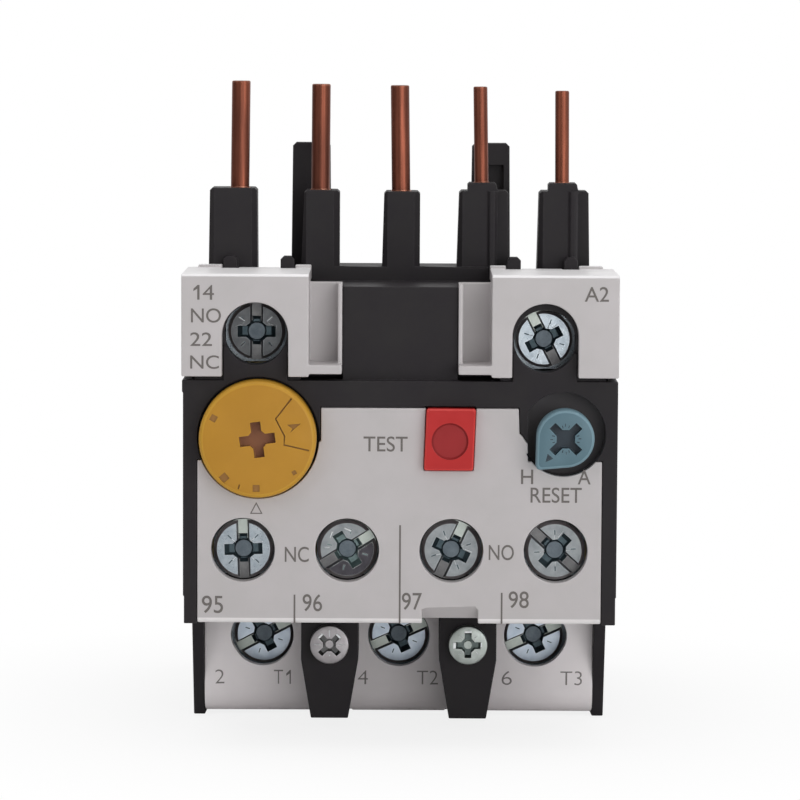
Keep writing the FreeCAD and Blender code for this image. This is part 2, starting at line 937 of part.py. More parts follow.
# Test button
def test_button():
    half_x = test_width / 2
    half_z = test_height / 2
    cap = box(test_x - half_x, test_x + half_x, -test_stand, test_back, test_z - half_z, test_z + half_z)
    outer = [e for e in cap.Edges if abs(e.tangentAt(e.FirstParameter).y) > 0.9]
    cap = cap.makeChamfer(test_corner, outer)
    flange_front = panel_thickness + front_wall + seat_gap
    flange_back = flange_front + test_flange_length
    half_x += test_flange
    half_z += test_flange_rise
    left = test_x - half_x
    right = test_x + half_x
    flange = box(left, right, flange_front, flange_back, test_z - half_z, test_z + half_z)
    neck = square_rod(test_x, test_z, test_neck_half, test_back - 0.2, flange_front + 0.2)
    stem = square_rod(test_x, test_z, test_stem_half, flange_back - 0.2, carrier_front - 0.05)
    shape = fuse([cap, neck, flange, stem])
    return shape.cut(rod(test_x, test_z, test_dimple_radius, -5, -test_stand + test_dimple_depth))


# Reset knob and plunger
def teardrop(radius, tip, d0, d1):
    angle = math.radians(reset_tip_angle)
    centre = Vector(reset_x, 0, reset_z)
    tip_centre = tip - reset_tip_round
    spread = math.acos((radius - reset_tip_round) / tip_centre)
    points = []
    for turn, distance, size in ((spread, 0, radius), (spread, tip_centre, reset_tip_round)):
        for sign in (-1, 1):
            a = angle + sign * turn
            x = centre.x + distance * math.cos(angle) + size * math.cos(a)
            z = centre.z + distance * math.sin(angle) + size * math.sin(a)
            points.append((x, z))
    wedge = [points[0], points[2], points[3], points[1]]
    body = rod(reset_x, reset_z, radius, d0, d1)
    x = reset_x + tip_centre * math.cos(angle)
    z = reset_z + tip_centre * math.sin(angle)
    return fuse([body, front_profile(wedge, d0, d1), rod(x, z, reset_tip_round, d0, d1)])


def reset_knob():
    shape = teardrop(reset_radius, reset_tip, -knob_stand, reset_back)
    return shape.cut(rod(reset_x, reset_z, reset_hub_radius + running_gap, -0.9, reset_back + 1))


def reset_plunger():
    flange_front = reset_pocket_depth + reset_floor + seat_gap
    flange_back = flange_front + reset_flange_length
    hub = rod(reset_x, reset_z, reset_hub_radius, -0.8, reset_back + 0.1)
    stem_end = reset_seat_depth + seat_thickness + 0.8
    stem = square_rod(reset_x, reset_z, reset_stem_half, reset_back + 0.05, stem_end)
    flange = square_rod(reset_x, reset_z, reset_flange_half, flange_front, flange_back)
    return fuse([hub, stem, flange])


def coil_spring(x, z, radius, d0, d1):
    half = spring_wire / 2
    sides = spring_sides
    length = d1 - d0 - spring_wire
    points = []
    for i in range(spring_turns * sides + 1):
        angle = 2 * math.pi * i / sides
        d = d0 + half + length * i / (spring_turns * sides)
        points.append(Vector(x + radius * math.cos(angle), panel_y + d, z + radius * math.sin(angle)))
    path = Part.makePolygon(points)
    start = points[0]
    across = Vector(half, 0, 0)
    along = Vector(0, half, 0)
    corners = [start - across - along, start + across - along, start + across + along, start - across + along]
    profile = Part.makePolygon(corners + corners[:1])
    return path.makePipeShell([profile], True, False, 1)


def test_spring():
    front = panel_thickness + front_wall + seat_gap + test_flange_length
    return coil_spring(test_x, test_z, spring_radius, front + 0.05, test_seat_depth - 0.05)


def reset_spring():
    front = reset_pocket_depth + reset_floor + seat_gap + reset_flange_length
    return coil_spring(reset_x, reset_z, spring_radius, front + 0.05, reset_seat_depth - 0.05)


# Connection pins
def main_pin(i):
    strap_top = pin_level + strap_thickness / 2
    pin = stepped_pin(i, strap_top)
    near = pin_depth - main_pin_radius - 0.2
    far = bimetal_front + bimetal_width - 1
    half = strap_width / 2
    outline = [
        (pins[i] - half, near),
        (pins[i] + half, near),
        (pins[i] + half, split_depth + 2),
        (poles[i] + half, far - 3),
        (poles[i] + half, far),
        (poles[i] - half, far),
        (poles[i] - half, far - 3),
        (pins[i] - half, split_depth + 2),
    ]
    strap = plan_profile(outline, strap_top - strap_thickness, strap_top)
    return fuse([pin, strap])


def control_pin(i):
    return stepped_pin(i, control_foot_z).removeSplitter()


# Upper terminal bars
def upper_bar(side):
    z = upper_left_z if side < 0 else upper_right_z
    x = side * upper_x
    pin_x = pins[3] if side < 0 else pins[4]
    back = upper_bar_depth + bar_thickness
    low = upper_chamber_bottom + 0.6
    high = upper_chamber_top - 0.3
    plate = box(x - upper_plate_half, x + upper_plate_half, upper_bar_depth, back, low, high)
    tab_low = control_foot_z - bar_thickness
    left = min(x, pin_x - control_tab_half)
    right = max(x, pin_x + control_tab_half)
    link = box(left, right, upper_bar_depth, back, tab_low - 1.0, control_foot_z)
    tab_left = pin_x - control_tab_half
    tab = box(tab_left, pin_x + control_tab_half, back - 0.2, pin_depth + 1.0, tab_low, control_foot_z)
    bar = fuse([plate, link, tab])
    return bar.cut(rod(x, z, small_thread_radius + running_gap, upper_bar_depth - 1, back + 1))


# Screw terminals
def screw(x, z, head_depth, head_radius, head_length, thread_radius, end):
    head = rod(x, z, head_radius, head_depth, head_depth + head_length)
    shank = rod(x, z, thread_radius, head_depth + head_length, end)
    return head.fuse(shank).removeSplitter()


def clamp(x, z, front, half, length, thread_radius):
    back = front + length
    radius = thread_radius + running_gap
    plate = box(x - half, x + half, front, back, z - half, z + half)
    hole = rod(x, z, radius, front - 1, back + 1)
    throat = box(x - radius, x + radius, front - 1, back + 1, z, z + half + 1)
    return plate.cut(hole.fuse(throat).removeSplitter())


def small_screw(x, z, head_depth, bar_depth):
    end = bar_depth + bar_thickness + small_shank_out
    return screw(x, z, head_depth, small_head_radius, small_head_length, small_thread_radius, end)


def small_clamp(x, z, head_depth):
    front = head_depth + small_head_length
    return clamp(x, z, front, small_clamp_half, small_clamp_length, small_thread_radius)


def main_screw(x):
    end = main_bar_depth + bar_thickness + main_shank_out
    return screw(x, main_z, main_head_depth, main_head_radius, main_head_length, main_thread_radius, end)


def main_clamp(x):
    front = main_head_depth + main_head_length
    return clamp(x, main_z, front, main_clamp_half, main_clamp_length, main_thread_radius)


# Terminal bars of the auxiliary contacts
def aux_plate(x):
    back = aux_bar_depth + bar_thickness
    half = aux_plate_half
    plate = box(x - half, x + half, aux_bar_depth, back, aux_plate_low, aux_chamber_top - 0.2)
    half = aux_riser_half
    riser = box(x - half, x + half, aux_bar_depth, back, aux_chamber_top - 0.5, contact_arm_low + 0.8)
    hole = rod(x, aux_z, small_thread_radius + running_gap, aux_bar_depth - 1, back + 1)
    return plate.fuse(riser).cut(hole)


def contact_pad(x, d0, d1):
    return box(x - contact_half, x + contact_half, d0, d1, bridge_z - contact_half, bridge_z + contact_half)


def contact_arm(x, contact_x, d0):
    low = min(x - aux_riser_half, contact_x - contact_arm_half)
    high = max(x + aux_riser_half, contact_x + contact_arm_half)
    return box(low, high, d0, d0 + bar_thickness, contact_arm_low, contact_arm_high)


def nc_bar(i):
    x = aux_places[i]
    side = 1 if i == 0 else -1
    contact_x = -carrier_leg_x - side * contact_offset
    back = aux_bar_depth + bar_thickness
    arm = contact_arm(x, contact_x, aux_bar_depth)
    tip = contact_pad(contact_x, back - 0.2, back + contact_height)
    return fuse([aux_plate(x), arm, tip])


def no_bar(i):
    x = aux_places[i]
    side = 1 if i == 2 else -1
    contact_x = carrier_leg_x - side * contact_offset
    back = aux_bar_depth + bar_thickness
    contact_face = bridge_back() + contact_height + trip_travel + 0.05
    front = contact_face + contact_height
    half = aux_riser_half
    shelf = box(x - half, x + half, back - 0.5, front + bar_thickness, contact_arm_low, contact_arm_low + 0.8)
    arm = contact_arm(x, contact_x, front)
    tip = contact_pad(contact_x, contact_face, front + 0.2)
    return fuse([aux_plate(x), shelf, arm, tip])


# Contact carrier with its two bridges
def bridge_front():
    return aux_bar_depth + bar_thickness + 2 * contact_height + 0.03


def leg_depths():
    front = bridge_front() + bridge_thickness
    return front, front + 1.8


def bridge_back():
    return leg_depths()[1] + bridge_thickness


def contact_carrier():
    front, back = leg_depths()
    half = carrier_leg_half
    inner = carrier_leg_x - half
    outer = carrier_leg_x + half
    low = carrier_bottom
    high = carrier_top
    spine_back = carrier_front + carrier_depth
    spine = box(-inner, outer, carrier_front, spine_back, low, high)
    link = box(-outer, outer, spine_back, back, low, high)
    legs = []
    for x in (-carrier_leg_x, carrier_leg_x):
        legs.append(box(x - half, x + half, front, back, bridge_z - bridge_height / 2, high))
    tail_x = lever_x + lever_arm
    hook_front = lever_depth + nose_radius + nose_play
    hook_back = hook_front + 1.4
    tail = box(tail_x + 1.6, tail_x + 2.8, back - 0.2, hook_back, low, high)
    catch = box(tail_x - 1.2, tail_x + 2.8, hook_front, hook_back, low, high)
    return fuse([spine, link, tail, catch] + legs)


def bridge(x, d0, toward_front):
    low = bridge_z - bridge_height / 2
    strip = box(x - bridge_half, x + bridge_half, d0, d0 + bridge_thickness, low, low + bridge_height)
    shapes = [strip]
    for side in (-1, 1):
        contact_x = x + side * contact_offset
        if toward_front:
            shapes.append(contact_pad(contact_x, d0 - contact_height, d0 + 0.1))
        else:
            back = d0 + bridge_thickness
            shapes.append(contact_pad(contact_x, back - 0.1, back + contact_height))
    return fuse(shapes)


# Trip lever, compensator and setting lever
def trip_lever():
    high = lever_bottom + lever_thickness
    low = lever_x - lever_hub_half
    front = lever_depth - lever_hub_half
    hub = box(low, low + 2 * lever_hub_half, front, front + 2 * lever_hub_half, lever_bottom, lever_top)
    rear = box(lever_x - 0.2, lever_x + 1.0, lever_depth, lever_depth + lever_arm + 1.5, lever_bottom, high)
    nose_x = lever_x + lever_arm
    arm = box(lever_x, nose_x, lever_depth - nose_radius, lever_depth + 0.4, lever_bottom, high)
    nose = post(nose_x, lever_depth, nose_radius, lever_bottom, high)
    radius = lever_pin_radius + running_gap
    hole = post(lever_x, lever_depth, radius, lever_bottom - 1, lever_top + 1)
    return fuse([hub, rear, arm, nose]).cut(hole)


def compensator_face():
    return lever_x - 0.2


def compensator_strip():
    face = compensator_face()
    middle = lever_depth + lever_arm
    top = slide_bottom + slide_thickness + 0.6
    return box(face - compensator_thickness, face, middle - 1.4, middle + 1.4, lever_bottom, top)


def setting_lever():
    tab_face = dial_x - cam_radius + cam_throw * math.cos(math.radians(cam_angle)) - cam_gap
    tab_front = cam_front + 0.3
    tab_back = cam_front + cam_length - 0.3
    high = setting_bottom + setting_thickness
    outline = [
        (setting_pivot_x - 1.5, tab_front),
        (tab_face, tab_front),
        (tab_face, setting_pivot_depth - 4),
        (setting_pivot_x + 2.0, setting_pivot_depth),
        (lever_x + 1.9, lever_depth - 1),
        (lever_x + 1.9, lever_depth + 1.9),
        (lever_x - 1.9, lever_depth + 1.9),
        (setting_pivot_x - 1.7, setting_pivot_depth),
    ]
    plate = plan_profile(outline, setting_bottom, high)
    tab = box(tab_face - 1.0, tab_face, tab_front, tab_back, setting_bottom, dial_z + 1.8)
    pin = post(lever_x, lever_depth, lever_pin_radius, setting_bottom, lever_top + 0.5)
    radius = lever_pin_radius + running_gap
    hole = post(setting_pivot_x, setting_pivot_depth, radius, setting_bottom - 1, high + 1)
    return fuse([plate, tab, pin]).cut(hole)


# Trip slide
def trip_slide():
    top = slide_bottom + slide_thickness
    back = slide_front + slide_bar
    left = compensator_face() + compensator_play
    finger_right = -bimetal_half - free_gap
    finger_back = bimetal_front + bimetal_width - 0.5
    shapes = [box(left, poles[2] + finger_right, slide_front, back, slide_bottom, top)]
    for x in poles:
        right = x + finger_right
        shapes.append(box(right - finger_width, right, back - 0.5, finger_back, slide_bottom, top))
    return fuse(shapes)


# Bimetal strips, heater windings and main terminal bars
def bimetal(x):
    back = bimetal_front + bimetal_width
    return box(x - bimetal_half, x + bimetal_half, bimetal_front, back, bimetal_bottom, bimetal_top)


def heater_turn(x, z):
    inside = bimetal_half + winding_gap
    outside = inside + winding_thickness
    front = bimetal_front - winding_gap
    back = bimetal_front + bimetal_width + winding_gap
    outer_front = front - winding_thickness
    outer_back = back + winding_thickness
    ring = box(x - outside, x + outside, outer_front, outer_back, z, z + winding_ribbon)
    return ring.cut(box(x - inside, x + inside, front, back, z - 1, z + winding_ribbon + 1))


def heater_winding(x):
    left = x + bimetal_half + winding_gap
    right = left + winding_thickness
    middle = bimetal_front + bimetal_width / 2
    half = winding_link_half
    shapes = []
    for i in range(winding_turns):
        z = winding_bottom + i * winding_pitch
        shapes.append(heater_turn(x, z))
        offset = winding_link_offset if i % 2 else -winding_link_offset
        link = middle + offset
        top = z + winding_pitch + 0.2
        if i == winding_turns - 1:
            top = pin_level - strap_thickness / 2
        shapes.append(box(left, right, link - half, link + half, z + winding_ribbon - 0.2, top))
    shapes.append(box(left, right, middle - half, middle + half, winding_bottom - 0.5, winding_bottom + 0.2))
    return fuse(shapes)


def main_bar(x):
    back = main_bar_depth + bar_thickness
    shelf_back = bimetal_front + bimetal_width
    left = x - main_plate_half
    right = x + main_plate_half
    plate = box(left, right, main_bar_depth, back, main_z - main_plate_drop, main_bar_top)
    left = x - main_shelf_half
    right = x + main_shelf_half
    shelf = box(left, right, back - 0.2, shelf_back, main_bar_top - bar_thickness, main_bar_top)
    left = x + bimetal_half
    right = left + bar_thickness
    tab = box(left, right, bimetal_front, shelf_back, main_bar_top - 0.8, winding_bottom - 0.5)
    hole = rod(x, main_z, main_thread_radius + running_gap, main_bar_depth - 1, back + 1)
    return fuse([plate, shelf, tab]).cut(hole)


def build():
    os.makedirs("parts", exist_ok=True)
    save("front_housing", front_housing())
    save("rear_housing", rear_housing())
    save("front_panel", front_panel())
    save("upper_cover_right", right_cover())
    save("upper_cover_left", mirrored(right_cover()))
    save("terminal_shroud", terminal_shroud())
    save("housing_screws", housing_screws())
    save("setting_dial", setting_dial())
    save("dial_cam", dial_cam())
    save("test_button", test_button())
    save("test_spring", test_spring())
    save("reset_knob", reset_knob())
    save("reset_plunger", reset_plunger())
    save("reset_spring", reset_spring())
    for i in range(3):
        save("main_pin_%d" % (i + 1), main_pin(i))
        save("main_bar_%d" % (i + 1), main_bar(poles[i]))
        save("main_screw_%d" % (i + 1), main_screw(poles[i]))
        save("main_clamp_%d" % (i + 1), main_clamp(poles[i]))
        save("bimetal_%d" % (i + 1), bimetal(poles[i]))
        save("heater_%d" % (i + 1), heater_winding(poles[i]))
    save("control_pin_left", control_pin(3))
    save("control_pin_right", control_pin(4))
    for name, side, (x, z) in zip(("left", "right"), (-1, 1), upper_places):
        save("upper_bar_" + name, upper_bar(side))
        save("upper_screw_" + name, small_screw(x, z, upper_head_depth, upper_bar_depth))
        save("upper_clamp_" + name, small_clamp(x, z, upper_head_depth))
    for i, number in enumerate((95, 96, 97, 98)):
        bar = nc_bar(i) if i < 2 else no_bar(i)
        save("aux_bar_%d" % number, bar)
        save("aux_screw_%d" % number, small_screw(aux_places[i], aux_z, aux_head_depth, aux_bar_depth))
        save("aux_clamp_%d" % number, small_clamp(aux_places[i], aux_z, aux_head_depth))
    save("contact_carrier", contact_carrier())
    save("nc_bridge", bridge(-carrier_leg_x, bridge_front(), True))
    save("no_bridge", bridge(carrier_leg_x, leg_depths()[1], False))
    save("trip_lever", trip_lever())
    save("compensator_strip", compensator_strip())
    save("setting_lever", setting_lever())
    save("trip_slide", trip_slide())


build()
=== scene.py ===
import json
import math

import bmesh
import bpy
from mathutils import Matrix, Vector


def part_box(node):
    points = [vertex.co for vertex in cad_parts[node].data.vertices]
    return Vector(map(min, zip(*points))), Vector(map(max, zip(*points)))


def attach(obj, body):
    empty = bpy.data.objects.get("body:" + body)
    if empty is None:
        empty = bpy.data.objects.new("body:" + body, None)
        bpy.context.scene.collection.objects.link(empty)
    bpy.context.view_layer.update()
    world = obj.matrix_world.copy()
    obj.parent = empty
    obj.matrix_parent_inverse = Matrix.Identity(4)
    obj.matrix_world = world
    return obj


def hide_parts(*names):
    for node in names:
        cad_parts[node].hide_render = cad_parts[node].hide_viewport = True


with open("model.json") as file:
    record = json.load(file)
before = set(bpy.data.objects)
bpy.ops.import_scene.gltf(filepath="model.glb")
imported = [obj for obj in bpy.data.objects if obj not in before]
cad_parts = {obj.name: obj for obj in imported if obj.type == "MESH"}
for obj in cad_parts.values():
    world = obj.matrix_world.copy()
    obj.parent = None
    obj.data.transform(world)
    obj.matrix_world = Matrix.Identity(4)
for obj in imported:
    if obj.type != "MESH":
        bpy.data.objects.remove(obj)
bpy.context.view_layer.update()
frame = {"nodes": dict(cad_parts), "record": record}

# Thermal overload relay, finished for its picture
# Places are written in millimetres: x to the right, z up, and depth behind the panel face.
MM = 0.001
PANEL_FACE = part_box("front_panel")[0].y
FACING_FRONT = Matrix.Rotation(math.radians(90), 4, "X")


def at(x, depth, z):
    return Vector((x * MM, PANEL_FACE + depth * MM, z * MM))


def middle(node):
    low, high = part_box(node)
    centre = (low + high) / 2
    return centre.x / MM, centre.z / MM


def front_of(node):
    return (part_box(node)[0].y - PANEL_FACE) / MM


# Colours are written as 0 to 255 in each channel
def tint(red, green, blue):
    levels = []
    for value in (red, green, blue):
        share = value / 255
        linear = share / 12.92 if share <= 0.04045 else ((share + 0.055) / 1.055) ** 2.4
        levels.append(linear)
    return (levels[0], levels[1], levels[2], 1.0)


# Camera
def set_camera():
    lens = bpy.data.cameras.new("camera")
    lens.lens = 174.6
    lens.sensor_width = 36
    lens.clip_start = 0.01
    lens.clip_end = 20
    camera = bpy.data.objects.new("camera", lens)
    bpy.context.scene.collection.objects.link(camera)
    looking_down = math.radians(5.3)
    roll = math.radians(0.3)
    distance = 400.0
    aim = at(0, 0, 36.7)
    away = Vector((0, -math.cos(looking_down), math.sin(looking_down))) * distance * MM
    place = Matrix.Translation(aim + away)
    turn = Matrix.Rotation(math.radians(90) - looking_down, 4, "X")
    camera.matrix_world = place @ turn @ Matrix.Rotation(roll, 4, "Z")
    bpy.context.scene.camera = camera


# Lamps, world and floor
WHITE = (1, 1, 1, 1)


def soft_lamp(name, place, width, height, power):
    light = bpy.data.lights.new(name, "AREA")
    light.shape = "RECTANGLE"
    light.size = width
    light.size_y = height
    light.energy = power
    lamp = bpy.data.objects.new(name, light)
    bpy.context.scene.collection.objects.link(lamp)
    lamp.location = place
    towards = Vector((0, 0, 0.035)) - Vector(place)
    lamp.rotation_euler = towards.to_track_quat("-Z", "Y").to_euler()


def node(tree, kind, values=None, **settings):
    made = tree.nodes.new(kind)
    for name, value in settings.items():
        setattr(made, name, value)
    for name, value in (values or {}).items():
        made.inputs[name].default_value = value
    return made


def spread(tree, value, low, high, from_low=0.3, from_high=0.7):
    ends = {"From Min": from_low, "From Max": from_high, "To Min": low, "To Max": high}
    mapped = node(tree, "ShaderNodeMapRange", ends)
    tree.links.new(value, mapped.inputs["Value"])
    return mapped.outputs["Result"]


def mixed_shader(tree, share, first, second):
    mixed = node(tree, "ShaderNodeMixShader")
    tree.links.new(share, mixed.inputs[0])
    tree.links.new(first.outputs[0], mixed.inputs[1])
    tree.links.new(second.outputs[0], mixed.inputs[2])
    return mixed


def set_world():
    world = bpy.data.worlds.new("studio")
    world.use_nodes = True
    tree = world.node_tree
    tree.nodes.clear()
    rays = node(tree, "ShaderNodeLightPath")
    white = node(tree, "ShaderNodeBackground", {"Color": WHITE, "Strength": 1.0})
    ambient = node(tree, "ShaderNodeBackground", {"Color": WHITE, "Strength": 0.27})
    mirrored = node(tree, "ShaderNodeBackground", {"Color": WHITE})
    direction = node(tree, "ShaderNodeTexCoord")
    towards = node(tree, "ShaderNodeVectorMath", {1: (0.75, 0.45, 0.0)}, operation="DOT_PRODUCT")
    tree.links.new(direction.outputs["Generated"], towards.inputs[0])
    strength = spread(tree, towards.outputs["Value"], 0.28, 1.15, -0.9, 0.9)
    tree.links.new(strength, mirrored.inputs["Strength"])
    either = node(tree, "ShaderNodeMath", operation="MAXIMUM")
    tree.links.new(rays.outputs["Is Glossy Ray"], either.inputs[0])
    tree.links.new(rays.outputs["Is Transmission Ray"], either.inputs[1])
    lighting = mixed_shader(tree, either.outputs[0], ambient, mirrored)
    seen = mixed_shader(tree, rays.outputs["Is Camera Ray"], lighting, white)
    out = node(tree, "ShaderNodeOutputWorld")
    tree.links.new(seen.outputs[0], out.inputs["Surface"])
    bpy.context.scene.world = world


def set_floor():
    shape = bmesh.new()
    bmesh.ops.create_grid(shape, x_segments=1, y_segments=1, size=0.3)
    mesh = bpy.data.meshes.new("floor")
    shape.to_mesh(mesh)
    shape.free()
    floor = bpy.data.objects.new("floor", mesh)
    bpy.context.scene.collection.objects.link(floor)
    material = bpy.data.materials.new("pale_floor")
    material.use_nodes = True
    tree = material.node_tree
    tree.nodes.clear()
    rays = node(tree, "ShaderNodeLightPath")
    paper = node(tree, "ShaderNodeBsdfDiffuse", {"Color": (0.86, 0.86, 0.86, 1)})
    glow = node(tree, "ShaderNodeEmission", {"Color": WHITE, "Strength": 1.0})
    place = node(tree, "ShaderNodeTexCoord")
    away = node(tree, "ShaderNodeVectorMath", operation="LENGTH")
    tree.links.new(place.outputs["Object"], away.inputs[0])
    fade = spread(tree, away.outputs["Value"], 0.84, 1.0, 0.02, 0.065)
    shown = mixed_shader(tree, fade, paper, glow)
    mixed = mixed_shader(tree, rays.outputs["Is Camera Ray"], paper, shown)
    out = node(tree, "ShaderNodeOutputMaterial")
    tree.links.new(mixed.outputs[0], out.inputs["Surface"])
    mesh.materials.append(material)


def set_studio():
    bpy.context.scene.view_settings.view_transform = "Standard"
    set_world()
    set_floor()
    soft_lamp("key", (0.55, -0.75, 0.60), 0.55, 0.75, 2.1)
    soft_lamp("fill", (-0.70, -0.70, 0.40), 0.55, 0.75, 1.3)
    soft_lamp("overhead", (0.0, 0.05, 0.85), 0.9, 0.7, 4.4)
    soft_lamp("front", (0.55, -1.0, 0.02), 1.1, 0.5, 5.4)


# Shared effects
def group(name, inputs, outputs):
    tree = bpy.data.node_groups.new(name, "ShaderNodeTree")
    for label, kind, value in inputs:
        socket = tree.interface.new_socket(label, in_out="INPUT", socket_type=kind)
        socket.default_value = value
    for label, kind in outputs:
        tree.interface.new_socket(label, in_out="OUTPUT", socket_type=kind)
    return tree, node(tree, "NodeGroupInput"), node(tree, "NodeGroupOutput")


def millimetres(tree, stretch=None):
    place = node(tree, "ShaderNodeTexCoord")
    scaled = node(tree, "ShaderNodeVectorMath", {1: (1000, 1000, 1000)}, operation="MULTIPLY")
    tree.links.new(place.outputs["Object"], scaled.inputs[0])
    if stretch is None:
        return scaled.outputs[0]
    shaped = node(tree, "ShaderNodeVectorMath", operation="MULTIPLY")
    tree.links.new(scaled.outputs[0], shaped.inputs[0])
    tree.links.new(stretch, shaped.inputs[1])
    return shaped.outputs[0]


def make_grain():
    tree, given, out = group(
        "grain",
        [
            ("Per millimetre", "NodeSocketFloat", 4.0),
            ("Cloud per millimetre", "NodeSocketFloat", 0.25),
            ("Stretch", "NodeSocketVector", (1, 1, 1)),
        ],
        [("Height", "NodeSocketFloat"), ("Cloud", "NodeSocketFloat")],
    )
    place = millimetres(tree, given.outputs["Stretch"])
    fine = node(tree, "ShaderNodeTexNoise", {"Detail": 3.0, "Roughness": 0.6})
    tree.links.new(place, fine.inputs["Vector"])
    tree.links.new(given.outputs["Per millimetre"], fine.inputs["Scale"])
    broad = node(tree, "ShaderNodeTexNoise", {"Detail": 4.0, "Roughness": 0.55})
    tree.links.new(place, broad.inputs["Vector"])
    tree.links.new(given.outputs["Cloud per millimetre"], broad.inputs["Scale"])
    tree.links.new(fine.outputs["Fac"], out.inputs["Height"])
    tree.links.new(broad.outputs["Fac"], out.inputs["Cloud"])
    return tree


def make_edge_wear():
    tree, given, out = group(
        "edge_wear",
        [
            ("Width", "NodeSocketFloat", 0.00025),
            ("Breaks per millimetre", "NodeSocketFloat", 1.5),
            ("Amount", "NodeSocketFloat", 0.5),
        ],
        [("Mask", "NodeSocketFloat")],
    )
    rounded = node(tree, "ShaderNodeBevel", samples=4)
    tree.links.new(given.outputs["Width"], rounded.inputs["Radius"])
    surface = node(tree, "ShaderNodeNewGeometry")
    match = node(tree, "ShaderNodeVectorMath", operation="DOT_PRODUCT")
    tree.links.new(rounded.outputs[0], match.inputs[0])
    tree.links.new(surface.outputs["Normal"], match.inputs[1])
    edge = spread(tree, match.outputs["Value"], 0.0, 1.0, 0.995, 0.86)
    breaks = node(tree, "ShaderNodeTexNoise", {"Detail": 3.0})
    tree.links.new(millimetres(tree), breaks.inputs["Vector"])
    tree.links.new(given.outputs["Breaks per millimetre"], breaks.inputs["Scale"])
    broken = spread(tree, breaks.outputs["Fac"], 0.0, 1.0, 0.35, 0.65)
    patchy = node(tree, "ShaderNodeMath", operation="MULTIPLY")
    tree.links.new(edge, patchy.inputs[0])
    tree.links.new(broken, patchy.inputs[1])
    amount = node(tree, "ShaderNodeMath", operation="MULTIPLY", use_clamp=True)
    tree.links.new(patchy.outputs[0], amount.inputs[0])
    tree.links.new(given.outputs["Amount"], amount.inputs[1])
    tree.links.new(amount.outputs[0], out.inputs["Mask"])
    return tree


def make_scratches():
    tree, given, out = group(
        "scratches",
        [
            ("Along", "NodeSocketVector", (1, 1, 1)),
            ("Lines per millimetre", "NodeSocketFloat", 5.0),
        ],
        [("Height", "NodeSocketFloat")],
    )
    lines = node(tree, "ShaderNodeTexNoise", {"Detail": 2.0, "Roughness": 0.7})
    tree.links.new(millimetres(tree, given.outputs["Along"]), lines.inputs["Vector"])
    tree.links.new(given.outputs["Lines per millimetre"], lines.inputs["Scale"])
    tree.links.new(lines.outputs["Fac"], out.inputs["Height"])
    return tree


GRAIN = make_grain()
EDGE_WEAR = make_edge_wear()
SCRATCHES = make_scratches()


def use_group(tree, shared, values):
    placed = node(tree, "ShaderNodeGroup")
    placed.node_tree = shared
    for name, value in values.items():
        placed.inputs[name].default_value = value
    return placed


def mix_colour(tree, share, first, second):
    blend = node(tree, "ShaderNodeMix", data_type="RGBA")
    tree.links.new(share, blend.inputs["Factor"])
    for socket, value in ((blend.inputs[6], first), (blend.inputs[7], second)):
        if isinstance(value, tuple):
            socket.default_value = tint(*value)
        else:
            tree.links.new(value, socket)
    return blend.outputs[2]


def bumped(tree, surface, height, depth):
    bump = node(tree, "ShaderNodeBump", {"Strength": 1.0, "Distance": depth})
    tree.links.new(height, bump.inputs["Height"])
    tree.links.new(bump.outputs["Normal"], surface.inputs["Normal"])


def new_surface(name):
    material = bpy.data.materials.new(name)
    material.use_nodes = True
    tree = material.node_tree
    tree.nodes.clear()
    surface = node(tree, "ShaderNodeBsdfPrincipled")
    out = node(tree, "ShaderNodeOutputMaterial")
    tree.links.new(surface.outputs[0], out.inputs["Surface"])
    return material, tree, surface


# Finishes
GRAIN_HEIGHT = 0.000004
LINE_HEIGHT = 0.000003


def moulded_plastic(name, colour, cloud, worn, gloss=0.42, grain=5.0, wear=0.4, shine=0.5):
    material, tree, surface = new_surface(name)
    surface.inputs["Specular IOR Level"].default_value = shine
    texture = use_group(tree, GRAIN, {"Per millimetre": grain})
    edges = use_group(tree, EDGE_WEAR, {"Amount": wear})
    clouded = mix_colour(tree, spread(tree, texture.outputs["Cloud"], 0.0, 1.0), colour, cloud)
    finished = mix_colour(tree, edges.outputs["Mask"], clouded, worn)
    tree.links.new(finished, surface.inputs["Base Color"])
    rough = spread(tree, texture.outputs["Cloud"], gloss - 0.05, gloss + 0.08)
    tree.links.new(rough, surface.inputs["Roughness"])
    bumped(tree, surface, texture.outputs["Height"], GRAIN_HEIGHT)
    return material


def plated_metal(name, colour, cloud, worn, rough=0.3, lines=(1, 1, 1), wear=0.5):
    material, tree, surface = new_surface(name)
    surface.inputs["Metallic"].default_value = 1.0
    texture = use_group(tree, GRAIN, {"Per millimetre": 2.2, "Cloud per millimetre": 0.9})
    marks = use_group(tree, SCRATCHES, {"Along": lines, "Lines per millimetre": 6.0})
    edges = use_group(tree, EDGE_WEAR, {"Amount": wear, "Width": 0.0002})
    clouded = mix_colour(tree, spread(tree, texture.outputs["Cloud"], 0.0, 1.0), colour, cloud)
    finished = mix_colour(tree, edges.outputs["Mask"], clouded, worn)
    tree.links.new(finished, surface.inputs["Base Color"])
    dull = spread(tree, marks.outputs["Height"], rough - 0.06, rough + 0.12)
    tree.links.new(dull, surface.inputs["Roughness"])
    bumped(tree, surface, marks.outputs["Height"], LINE_HEIGHT)
    return material


